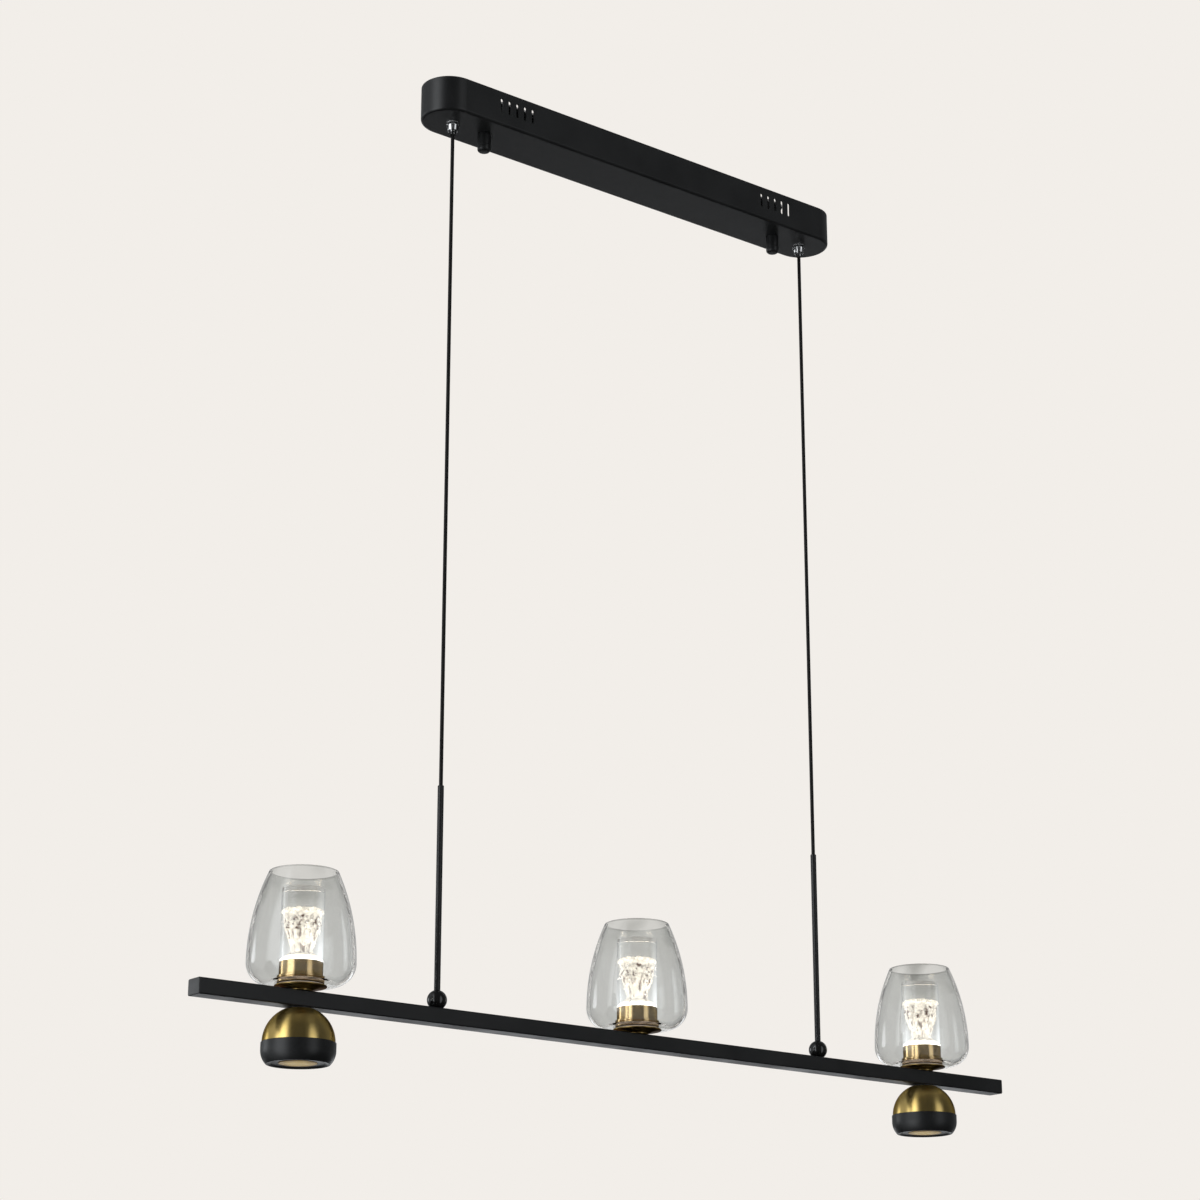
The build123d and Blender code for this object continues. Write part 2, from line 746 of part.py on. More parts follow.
for place, x in lamp_places.items():
    write(shade_seat(x), f"shade_seat_{place}")
    write(glass_shade(x), f"glass_shade_{place}")
    write(lamp_cup(x), f"lamp_cup_{place}")
    write(led_board(x), f"led_board_{place}")
    write(crystal_column(x), f"crystal_column_{place}")
    write(bubble_core(x), f"bubble_core_{place}")

with BuildPart() as shade_gaskets:
    with BuildSketch(Plane.XY.offset(seat_top)):
        with Locations(*[(x, 0) for x in lamp_places.values()]):
            Circle(gasket_diameter / 2)
            Circle(nipple_hole_radius, mode=Mode.SUBTRACT)
    extrude(amount=gasket_thickness)
write(shade_gaskets, "shade_gaskets")

# Clamp rings: screwed down on the glass from inside, with a groove round the rim
groove_low = ring_bottom + (ring_height - ring_groove) / 2
with BuildPart() as clamp_rings:
    with BuildSketch(Plane.XY.offset(ring_bottom)):
        with Locations(*[(x, 0) for x in lamp_places.values()]):
            Circle(ring_diameter / 2)
            Circle(nipple_fit_radius, mode=Mode.SUBTRACT)
    extrude(amount=ring_height)
    with BuildSketch(Plane.XY.offset(groove_low)):
        with Locations(*[(x, 0) for x in lamp_places.values()]):
            Circle(ring_diameter / 2)
            Circle(ring_diameter / 2 - ring_groove, mode=Mode.SUBTRACT)
    extrude(amount=ring_groove, mode=Mode.SUBTRACT)
write(clamp_rings, "clamp_rings")

with BuildPart() as spot_necks:
    with BuildSketch(Plane.XY.offset(bar_bottom)):
        with Locations(*[(x, 0) for x in spot_places.values()]):
            Circle(neck_diameter / 2)
            Circle(nipple_fit_radius, mode=Mode.SUBTRACT)
    extrude(amount=-neck_height)
write(spot_necks, "spot_necks")


def spot_dome(x):
    """Spun half ball with a flat crown, open below."""
    inner_radius = dome_radius - dome_wall
    crown_z = dome_rise - dome_crown
    crown_inner = math.sqrt(inner_radius**2 - crown_z**2)
    outer_angle = math.degrees(math.asin(dome_rise / dome_radius))
    inner_angle = math.degrees(math.asin(crown_z / inner_radius))
    with BuildPart() as dome:
        with BuildSketch(upright(x, dome_equator)):
            with BuildLine():
                CenterArc((0, 0), dome_radius, 0, outer_angle)
                CenterArc((0, 0), inner_radius, 0, inner_angle)
                Line((dome_radius, 0), (inner_radius, 0))
                Line((dome_flat_diameter / 2, dome_rise), (nipple_fit_radius, dome_rise))
                Line((nipple_fit_radius, dome_rise), (nipple_fit_radius, crown_z))
                Line((nipple_fit_radius, crown_z), (crown_inner, crown_z))
            make_face()
        revolve(axis=turning_axis(x))
    return dome


def spot_bezel(x):
    """Cast ring: a spigot in the dome, a rounded side and a shallow mouth with two shelves."""
    dome_bore = math.sqrt((dome_radius - dome_wall) ** 2 - bezel_spigot_height**2)
    spigot = dome_bore - bezel_clearance
    outside = dome_radius + bezel_overhang
    rim = bezel_rim_diameter / 2
    recess = bezel_recess_diameter / 2
    recess_z = -bezel_height + bezel_recess_depth
    throat = bezel_throat_diameter / 2
    lens_bore = throat + lens_ledge
    shelf_lens = lens_shelf - dome_equator
    shelf_module = module_shelf - dome_equator
    module_bore = spigot - bezel_wall
    with BuildPart() as bezel:
        with BuildSketch(upright(x, dome_equator)):
            with BuildLine():
                Polyline(
                    (module_bore, bezel_spigot_height),
                    (spigot, bezel_spigot_height),
                    (spigot, 0),
                    (outside, 0),
                    (outside, -bezel_band),
                )
                TangentArc((outside, -bezel_band), (rim, -bezel_height), tangent=(0, -1))
                Polyline(
                    (rim, -bezel_height),
                    (rim - bezel_lip, -bezel_height),
                    (recess, recess_z),
                    (throat, recess_z),
                    (throat, shelf_lens),
                    (lens_bore, shelf_lens),
                    (lens_bore, shelf_module),
                    (module_bore, shelf_module),
                    (module_bore, bezel_spigot_height),
                )
            make_face()
        revolve(axis=turning_axis(x))
    return bezel


def spot_module(x):
    """Heat sink plate with straight fins above and a light source below."""
    fin_top = module_plate + fin_height
    with BuildPart() as module:
        with BuildSketch(Plane.XY.offset(module_shelf)):
            with Locations((x, 0)):
                Circle(module_diameter / 2)
        extrude(amount=module_plate)
        with BuildSketch(Plane.XY.offset(module_shelf)):
            with Locations((x, 0)):
                with GridLocations(fin_pitch, 0, fin_count, 1):
                    Rectangle(fin_thickness, fin_length)
        extrude(amount=fin_top)
        with BuildSketch(Plane.XY.offset(module_shelf)):
            with Locations((x, 0)):
                Circle(module_emitter_diameter / 2)
        extrude(amount=-module_emitter_height)
    return module


def spot_lens(x):
    """Lens: a flange on the bezel's shelf, a round face in its mouth, a cone up to the light."""
    flange = bezel_throat_diameter / 2 + lens_ledge - bezel_clearance
    face = bezel_throat_diameter / 2 - bezel_clearance
    body = lens_body_diameter / 2
    tip = lens_tip_diameter / 2
    top = bezel_chamber - module_emitter_height - lens_gap
    bulge_radius = (face**2 + lens_bulge**2) / (2 * lens_bulge)
    bulge_angle = math.degrees(math.asin(face / bulge_radius))
    bulge_middle = bulge_radius - lens_drop - lens_bulge
    with BuildPart() as lens:
        with BuildSketch(upright(x, lens_shelf)):
            with BuildLine():
                Polyline(
                    (0, -lens_drop - lens_bulge),
                    (0, top),
                    (tip, top),
                    (body, lens_flange),
                    (flange, lens_flange),
                    (flange, 0),
                    (face, 0),
                    (face, -lens_drop),
                )
                CenterArc((0, bulge_middle), bulge_radius, -90, bulge_angle)
            make_face()
        revolve(axis=turning_axis(x))
    return lens


for place, x in spot_places.items():
    write(spot_dome(x), f"spot_dome_{place}")
    write(spot_bezel(x), f"spot_bezel_{place}")
    write(spot_module(x), f"spot_module_{place}")
    write(spot_lens(x), f"spot_lens_{place}")
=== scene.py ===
"""Linear pendant light: finishes, glass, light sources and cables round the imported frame.

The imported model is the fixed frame. Turned, glazed and glowing pieces are replaced by finer
meshes, every other piece gets its finish, and a small studio is set up. Lengths are in metres.
"""

import json
import logging
import math
import random
from dataclasses import dataclass, replace
from enum import Enum
from functools import cached_property
from typing import ClassVar, Sequence

import bmesh
import bpy
from mathutils import Matrix, Vector


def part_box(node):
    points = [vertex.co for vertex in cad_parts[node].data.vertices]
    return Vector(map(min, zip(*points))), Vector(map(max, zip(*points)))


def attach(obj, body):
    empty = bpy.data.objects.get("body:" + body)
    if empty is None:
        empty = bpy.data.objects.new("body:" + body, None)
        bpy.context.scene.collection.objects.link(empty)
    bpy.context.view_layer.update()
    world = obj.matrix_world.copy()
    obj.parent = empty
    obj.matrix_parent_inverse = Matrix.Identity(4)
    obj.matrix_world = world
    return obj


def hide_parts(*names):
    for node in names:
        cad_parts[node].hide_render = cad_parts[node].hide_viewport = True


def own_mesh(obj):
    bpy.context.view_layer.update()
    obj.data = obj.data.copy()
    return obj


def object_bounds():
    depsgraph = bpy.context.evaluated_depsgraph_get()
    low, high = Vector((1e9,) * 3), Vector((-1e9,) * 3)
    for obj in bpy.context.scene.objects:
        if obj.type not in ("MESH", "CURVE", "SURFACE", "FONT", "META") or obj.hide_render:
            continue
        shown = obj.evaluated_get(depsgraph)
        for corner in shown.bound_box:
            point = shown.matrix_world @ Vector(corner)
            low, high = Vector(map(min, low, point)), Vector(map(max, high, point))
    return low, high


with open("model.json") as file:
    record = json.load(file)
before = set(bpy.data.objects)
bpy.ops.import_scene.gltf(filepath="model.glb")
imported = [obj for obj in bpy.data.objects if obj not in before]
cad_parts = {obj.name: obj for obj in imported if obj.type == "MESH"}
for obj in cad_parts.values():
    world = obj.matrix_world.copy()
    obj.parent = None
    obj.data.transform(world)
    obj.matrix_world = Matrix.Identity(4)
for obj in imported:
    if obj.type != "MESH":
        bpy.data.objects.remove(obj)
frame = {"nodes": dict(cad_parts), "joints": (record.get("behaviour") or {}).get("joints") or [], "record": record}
cad_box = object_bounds()
log = logging.getLogger("pendant_light")

Colour = tuple[float, float, float, float]
Span = tuple[float, float]
Ease = tuple[float, float, float, float]  # where a smooth passage starts and ends, its values there
Ring = list[bmesh.types.BMVert]
Socket = bpy.types.NodeSocket
Input = float | Sequence[float] | bpy.types.NodeSocket
Sockets = dict[str | int, Input]
NOISE_SPAN = (0.3, 0.7)  # the part of its range that a noise mostly takes
CREASE = 40.0  # degrees above which an edge of a piece stays sharp


class Body(str, Enum):
    """Bodies of the frame that pieces ride on."""

    CANOPY = "canopy"
    SUSPENSION = "suspension"
    BAR = "bar"


class Place(str, Enum):
    """Where a repeated sub-assembly sits along the bar."""

    LEFT = "left"
    MIDDLE = "middle"
    RIGHT = "right"


ENDS = (Place.LEFT, Place.RIGHT)


class Slot(str, Enum):
    """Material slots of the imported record."""

    SATIN_BLACK = "satin_black"
    GLOSS_BLACK = "gloss_black"
    CHROME = "chrome"
    STEEL = "steel"
    BRASS = "brass"
    POLISHED_BRASS = "polished_brass"
    DARK_BRASS = "dark_brass"
    CLEAR_GLASS = "clear_glass"
    CRYSTAL = "crystal"
    BUBBLE_LIGHT = "bubble_light"
    LED_WHITE = "led_white"
    WHITE_PLASTIC = "white_plastic"
    GASKET_RUBBER = "gasket_rubber"
    PAD_FOAM = "pad_foam"
    CABLE_BLACK = "cable_black"
    HEAT_SINK = "heat_sink"
    AMBER_LENS = "amber_lens"


class Graph:
    """Node tree of a material or of the world, built outwards from its shader."""

    def __init__(self, tree: bpy.types.NodeTree, shader: str) -> None:
        """Take a fresh tree that starts with a shader node of that name."""
        self.tree = tree
        self.shader = tree.nodes[shader]

    def fill(self, node: bpy.types.Node, sockets: Sockets) -> None:
        """Set or link the inputs of a node.

        Args:
            node: Node to fill.
            sockets: Constant, or output to link, for each input.
        """
        for name, value in sockets.items():
            if isinstance(value, Socket):
                self.tree.links.new(value, node.inputs[name])
            else:
                node.inputs[name].default_value = value

    def shade(self, sockets: Sockets) -> None:
        """Set or link inputs of the tree's shader."""
        self.fill(self.shader, sockets)

    def add(
        self, kind: str, output: str, sockets: Sockets | None = None, **settings: str
    ) -> Socket:
        """Add a node.

        Args:
            kind: Blender's name of the node type, without its prefix.
            output: Name of the output to give.
            sockets: Constant, or output to link, for each input.
            settings: Settings of the node other than its sockets.

        Returns:
            The node's output.
        """
        made = self.tree.nodes.new(f"ShaderNode{kind}")
        for name, value in settings.items():
            setattr(made, name, value)
        self.fill(made, sockets or {})
        return made.outputs[output]

    def place(self, stretch: Sequence[float] = (1.0, 1.0, 1.0)) -> Socket:
        """Give a point's place on the object, in metres times a stretch along each axis."""
        spot = self.add("TexCoord", "Object")
        return self.add("Mapping", "Vector", {"Vector": spot, "Scale": stretch})

    def along(self, vector: Socket, axis: str) -> Socket:
        """Give a vector's part along an axis."""
        return self.add("SeparateXYZ", axis, {"Vector": vector})

    def noise(self, vector: Socket, scale: float, detail: float = 3.0) -> Socket:
        """Give a noise from 0 to 1, with a scale of cells in a unit of the vector."""
        sockets = {"Vector": vector, "Scale": scale, "Detail": detail}
        return self.add("TexNoise", "Fac", sockets)

    def ease(self, value: Socket, start: float, end: float, low: float, high: float) -> Socket:
        """Pass smoothly from low to high while a value goes from start to end."""
        sockets = {"Value": value, "From Min": start, "From Max": end, "To Min": low, "To Max": high}
        return self.add("MapRange", "Result", sockets, interpolation_type="SMOOTHSTEP")

    def spread(self, noise: Socket, low: float, high: float) -> Socket:
        """Spread a noise between two values."""
        return self.ease(noise, *NOISE_SPAN, low, high)

    def sums(self, operation: str, *values: Input) -> Socket:
        """Reckon with values, by Blender's name of the operation."""
        return self.add("Math", "Value", dict(enumerate(values)), operation=operation)

    def vectors(self, operation: str, output: str, *values: Input) -> Socket:
        """Reckon with vectors, by Blender's name of the operation."""
        return self.add("VectorMath", output, dict(enumerate(values)), operation=operation)

    def ramp(self, value: Socket, *stops: tuple[float, Colour]) -> Socket:
        """Turn a value into a colour.

        Args:
            value: Value from 0 to 1.
            stops: Position and colour of each stop, in order.

        Returns:
            Colour output.
        """
        made = self.add("ValToRGB", "Color", {"Fac": value})
        elements = made.node.color_ramp.elements
        while len(elements) < len(stops):
            elements.new(1.0)
        for element, (position, colour) in zip(elements, stops):
            element.position = position
            element.color = colour
        return made

    def bump(self, height: Socket, depth: float, strength: float = 0.4) -> Socket:
        """Turn a height from 0 to 1, with its real depth, into a bumped normal."""
        sockets = {"Height": height, "Distance": depth, "Strength": strength}
        return self.add("Bump", "Normal", sockets)


def grey(value: float, warmth: float = 0.0) -> Colour:
    """Give a grey, with a share added to red and taken from blue."""
    return (value * (1 + warmth), value, value * (1 - warmth), 1.0)


@dataclass(frozen=True)
class Finish:
    """A finish that is made once and shared by the pieces that wear it.

    Attributes:
        slot: Slot of the record that the finish stands for.
        light: Lighter colour of its variation.
        dark: Darker colour of its variation.
    """

    slot: Slot
    light: Colour
    dark: Colour

    def material(self) -> bpy.types.Material:
        """Give the finish's material, made at the first call.

        Returns:
            The material.
        """
        name = f"finish_{self.slot.value}"
        found = bpy.data.materials.get(name)
        if found is None:
            found = bpy.data.materials.new(name)
            found.use_nodes = True
            self.paint(Graph(found.node_tree, "Principled BSDF"))
        return found

    def paint(self, graph: Graph) -> None:
        """Build the finish's nodes in a fresh graph."""
        raise NotImplementedError

    def tone(self, graph: Graph, noise: Socket) -> Socket:
        """Vary between the finish's two colours with a noise."""
        return graph.ramp(noise, *zip(NOISE_SPAN, (self.dark, self.light)))


@dataclass(frozen=True)
class Coating(Finish):
    """Paint, plastic or rubber: soft clouds of tone over a fine grain.

    Attributes:
        sheen: Lowest and highest roughness.
        polish: Strength of its mirroring, 0.5 being that of plain lacquer.
        grain: Grains in a metre.
        grain_depth: Depth of the grain.
        clouds: Clouds of tone in a metre.
        glow: Strength of the light that it gives off: a lamp's own light on the LED board, painted light on the
            gasket.
    """

    sheen: Span = (0.36, 0.46)
    polish: float = 0.5
    grain: float = 1500.0
    grain_depth: float = 0.00004
    clouds: float = 24.0
    glow: float = 0.0

    def paint(self, graph: Graph) -> None:
        """Build the coating's nodes.

        Args:
            graph: Fresh graph of the material.
        """
        place = graph.place()
        cloud = graph.noise(place, self.clouds)
        grain = graph.noise(place, self.grain, detail=2.0)
        tone = self.tone(graph, cloud)
        graph.shade({
            "Base Color": tone,
            "Roughness": graph.spread(cloud, *self.sheen),
            "Specular IOR Level": self.polish,
            "Normal": graph.bump(grain, self.grain_depth),
        })
        if self.glow:
            graph.shade({"Emission Color": tone, "Emission Strength": self.glow})


@dataclass(frozen=True)
class TurnedMetal(Finish):
    """Metal with the fine rings that a lathe leaves, so highlights spread along the axis.

    Attributes:
        sheen: Lowest and highest roughness.
        rings: Rings in a metre of height.
        ring_depth: Depth of a ring.
        drift: Changes of a ring in a metre round the axis.
        tarnish: Clouds of tarnish in a metre.
        spread: Strength of the stretched highlight.
        across: Turn of that highlight, which sets it across the rings.
        edge: Tint of what it mirrors where it turns away from the eye.
    """

    sheen: Span = (0.28, 0.33)
    rings: float = 2400.0
    ring_depth: float = 0.000003
    drift: float = 12.0
    tarnish: float = 45.0
    spread: float = 0.8
    across: float = 0.25
    edge: Colour = (0.45, 0.38, 0.30, 1.0)

    def paint(self, graph: Graph) -> None:
        """Build the metal's nodes.

        Args:
            graph: Fresh graph of the material.
        """
        ring = graph.noise(graph.place((self.drift, self.drift, self.rings)), 1.0)
        graph.shade({
            "Base Color": self.tone(graph, graph.noise(graph.place(), self.tarnish)),
            "Metallic": 1.0,
            "Roughness": graph.spread(ring, *self.sheen),
            "Specular Tint": self.edge,
            "Anisotropic": self.spread,
            "Anisotropic Rotation": self.across,
            "Tangent": graph.add("Tangent", "Tangent", direction_type="RADIAL", axis="Z"),
            "Normal": graph.bump(ring, self.ring_depth),
        })


@dataclass(frozen=True)
class PlainMetal(Finish):
    """Plated or cast metal with a faint cloudiness.

    Attributes:
        sheen: Lowest and highest roughness.
        grain: Grains in a metre.
        grain_depth: Depth of the grain.
    """

    sheen: Span = (0.22, 0.34)
    grain: float = 700.0
    grain_depth: float = 0.00001

    def paint(self, graph: Graph) -> None:
        """Build the metal's nodes.

        Args:
            graph: Fresh graph of the material.
        """
        grain = graph.noise(graph.place(), self.grain)
        graph.shade({
            "Base Color": self.tone(graph, grain),
            "Metallic": 1.0,
            "Roughness": graph.spread(grain, *self.sheen),
            "Normal": graph.bump(grain, self.grain_depth),
        })


@dataclass(frozen=True)
class Glass(Finish):
    """Clear glass with a faint tint that drifts and a surface that isn't quite even.

    Attributes:
        ior: Index of refraction.
        waves: Waves of the surface in a metre.
        wave_depth: Depth of the waves.
        gloss: Mirroring of its surface besides that of the bare glass, over its height.
        edge: Dark colour painted where a thin wall is seen edge-on and at its rim, a painted shade for its
            outline; none for solid glass.
        height_lean: Shift of a thin wall's tint over its height, below zero towards that colour.
        edge_on_shade: The same shift as the wall turns edge-on, part real deeper tint and part painted shade.
        rim_shade: The same shift at the rim, a painted shade along the rim's outline.
        foot_light: Painted glow of solid glass near its foot, over its height, standing in for the lamp's light
            spread through it.
        painted_band_glow: Painted glow of two upright stripes up its wall, over its height.
        painted_band_lobe: Share of that painted glow, over how squarely the wall faces a stripe's heading.
        painted_band_turn: Turn of the painted stripes about the upright axis, in degrees.
    """

    ior: float
    waves: float = 28.0
    wave_depth: float = 0.0004
    gloss: Ease | None = None
    edge: Colour | None = None
    height_lean: Ease = (-0.905, -0.862, 0.25, -0.2)
    edge_on_shade: Ease = (0.70, 0.95, 0.0, -0.8)
    rim_shade: Ease = (-0.8514, -0.8506, 0.0, -0.2)
    foot_light: Ease | None = None
    painted_band_glow: Ease = (-0.925, -0.866, 0.38, 0.114)
    painted_band_lobe: Ease = (0.7, 1.0, 0.0, 1.0)
    painted_band_turn: float = 56.0

    def paint(self, graph: Graph) -> None:
        """Build the glass's nodes.

        Args:
            graph: Fresh graph of the material.
        """
        place = graph.place()
        wave = graph.noise(place, self.waves, detail=1.0)
        height = graph.along(place, "Z")
        # A thin wall's tint carries painted shade at its rim and where it is seen edge-on.
        tint = self.wall_tint_and_shade(graph, wave, height) if self.edge else self.tone(graph, wave)
        graph.shade({
            "Base Color": tint,
            "Roughness": 0.0,
            "IOR": self.ior,
            "Transmission Weight": 1.0,
            "Normal": graph.bump(wave, self.wave_depth, strength=0.25),
        })
        if self.gloss:
            weight = graph.ease(height, *self.gloss)
            graph.shade({"Coat Weight": weight, "Coat Roughness": 0.02, "Coat IOR": 1.5})
        # Solid glass gets a painted glow, though it is no lamp: light given off near its foot and in two upright
        # stripes.
        if self.foot_light:
            foot = graph.ease(height, *self.foot_light)
            light = graph.sums("ADD", foot, self.painted_glow_bands(graph, height))
            graph.shade({"Emission Color": grey(1.0, -0.03), "Emission Strength": light})

    def wall_tint_and_shade(self, graph: Graph, wave: Socket, height: Socket) -> Socket:
        """Give a thin wall's tint, with painted shade at the rim and where the wall is seen edge-on.

        Args:
            graph: Graph of the material.
            wave: Waves of the surface, from 0 to 1.
            height: Height in the frame.

        Returns:
            Colour output.
        """
        # Painted shade: the tint darkens to the edge colour where the wall is seen edge-on, and at the rim.
        facing = graph.add("LayerWeight", "Facing", {"Blend": 0.5})
        tint_and_shade_leans = ((height, self.height_lean), (facing, self.edge_on_shade), (height, self.rim_shade))
        depth = wave
        for value, lean in tint_and_shade_leans:
            depth = graph.sums("ADD", depth, graph.ease(value, *lean))
        return graph.ramp(depth, (0.0, self.edge), *zip(NOISE_SPAN, (self.dark, self.light)))

    def painted_glow_bands(self, graph: Graph, height: Socket) -> Socket:
        """Give the painted glow of two upright stripes that climb the wall, though the glass is no lamp.

        Args:
            graph: Graph of the material.
            height: Height in the frame.

        Returns:
            Value output.
        """
        turn = (0.0, 0.0, math.radians(self.painted_band_turn))
        normal = graph.add("NewGeometry", "Normal")
        across = graph.along(
            graph.add("Mapping", "Vector", {"Vector": normal, "Rotation": turn}), "X"
        )
        lobe = graph.ease(graph.sums("MULTIPLY", across, across), *self.painted_band_lobe)
        return graph.sums("MULTIPLY", lobe, graph.ease(height, *self.painted_band_glow))


@dataclass(frozen=True)
class BubbleGlow(Finish):
    """Cone of lit bubbles: bright cells, with dim specks between them in its upper part.

    Attributes:
        cells: Bubbles in a metre.
        cell_depth: Depth of a bubble.
        cell_light: Light from the middle of a bubble to its edge.
        roof_share: Share of that light, over how far the cone's face looks up.
        foot_light: Light of the cone's foot, over its height.
        specks: Dim specks in a metre.
        streaks: Streaks down the cone's side in a metre.
        streak_stretch: Stretch of the streaks along each axis.
        streak_tone: Tone of the side, over the noise of its streaks.
        crown_tone: Tone added to the specks, over the cone's height.
        head_share: Share of specks against streaks, over the cone's height.
        stops: Tones at which the light is dark, middling and bright.
    """

    cells: float = 300.0
    cell_depth: float = 0.0006
    cell_light: Ease = (0.2, 0.8, 1.15, 0.6325)
    roof_share: Ease = (0.5, 0.95, 1.0, 0.25)
    foot_light: Ease = (-0.9325, -0.9275, 6.0, 0.0)
    specks: float = 270.0
    streaks: float = 420.0
    streak_stretch: tuple[float, float, float] = (1.0, 1.0, 0.12)
    streak_tone: Ease = (0.32, 0.58, 0.33, 0.60)
    crown_tone: Ease = (-0.893, -0.889, -0.05, 0.25)
    head_share: Ease = (-0.909, -0.903, 0.0, 1.0)
    stops: tuple[float, float, float] = (0.30, 0.37, 0.46)

    def paint(self, graph: Graph) -> None:
        """Build the glow's nodes.

        Args:
            graph: Fresh graph of the material.
        """
        place = graph.place()
        cell = graph.add("TexVoronoi", "Distance", {"Vector": place, "Scale": self.cells})
        height = graph.along(place, "Z")
        upward = graph.along(graph.add("NewGeometry", "Normal"), "Z")
        roof = graph.ease(upward, *self.roof_share)
        head = graph.sums("MULTIPLY", graph.ease(cell, *self.cell_light), roof)
        mottle = self.mottle(graph, height)
        middling = tuple((dark + 2 * light) / 3 for dark, light in zip(self.dark, self.light))
        stops = zip(self.stops, (self.dark, middling, self.light))
        graph.shade({
            "Base Color": self.tone(graph, mottle),
            "Roughness": 0.25,
            "Emission Color": graph.ramp(mottle, *stops),
            "Emission Strength": graph.sums("ADD", head, graph.ease(height, *self.foot_light)),
            "Normal": graph.bump(cell, self.cell_depth, strength=0.6),
        })

    def mottle(self, graph: Graph, height: Socket) -> Socket:
        """Give the dim streaks of the cone's side and the specks of its head.

        Args:
            graph: Graph of the material.
            height: Height in the frame.

        Returns:
            Value output, lower where the light is dimmer.
        """
        streak = graph.noise(graph.place(self.streak_stretch), self.streaks, detail=1.0)
        side = graph.ease(streak, *self.streak_tone)
        speck = graph.noise(graph.place(), self.specks, detail=2.0)
        spotted = graph.sums("ADD", speck, graph.ease(height, *self.crown_tone))
        share = graph.ease(height, *self.head_share)
        return graph.add("Mix", "Result", {"Factor": share, "A": side, "B": spotted})


@dataclass(frozen=True)
class RingedLens(Finish):
    """Frosted lens with fine moulded rings round its middle.

    Attributes:
        sheen: Roughness in and on a ring.
        polish: Strength of its mirroring.
        rings: Rings from edge to edge.
        ring_depth: Depth of a ring.
        radii: Shares of its width at which it is light and dark.
        frost: Clouds of frost in a metre.
        frost_lean: How far the frost shifts those shares.
        glow: Strength of the light that comes through.
    """

    sheen: Span = (0.28, 0.40)
    polish: float = 0.02
    rings: float = 9.0
    ring_depth: float = 0.0003
    radii: Span = (0.22, 0.5)
    frost: float = 150.0
    frost_lean: Span = (-0.05, 0.05)
    glow: float = 0.10

    def paint(self, graph: Graph) -> None:
        """Build the lens's nodes.

        Args:
            graph: Fresh graph of the material.
        """
        share = graph.add("TexCoord", "Generated")
        centred = graph.add("Mapping", "Vector", {"Vector": share, "Location": (-0.5, -0.5, 0.0)})
        wave = graph.add(
            "TexWave", "Fac", {"Vector": centred, "Scale": self.rings},
            wave_type="RINGS", rings_direction="Z",
        )
        radius = graph.vectors("LENGTH", "Value", centred)
        frost = graph.spread(graph.noise(graph.place(), self.frost), *self.frost_lean)
        stops = zip(self.radii, (self.light, self.dark))
        tone = graph.ramp(graph.sums("ADD", radius, frost), *stops)
        graph.shade({
            "Base Color": tone,
            "Specular IOR Level": self.polish,
            "Roughness": graph.ease(wave, 0.0, 1.0, *self.sheen),
            "Emission Color": tone,
            "Emission Strength": self.glow,
            "Normal": graph.bump(wave, self.ring_depth),
        })


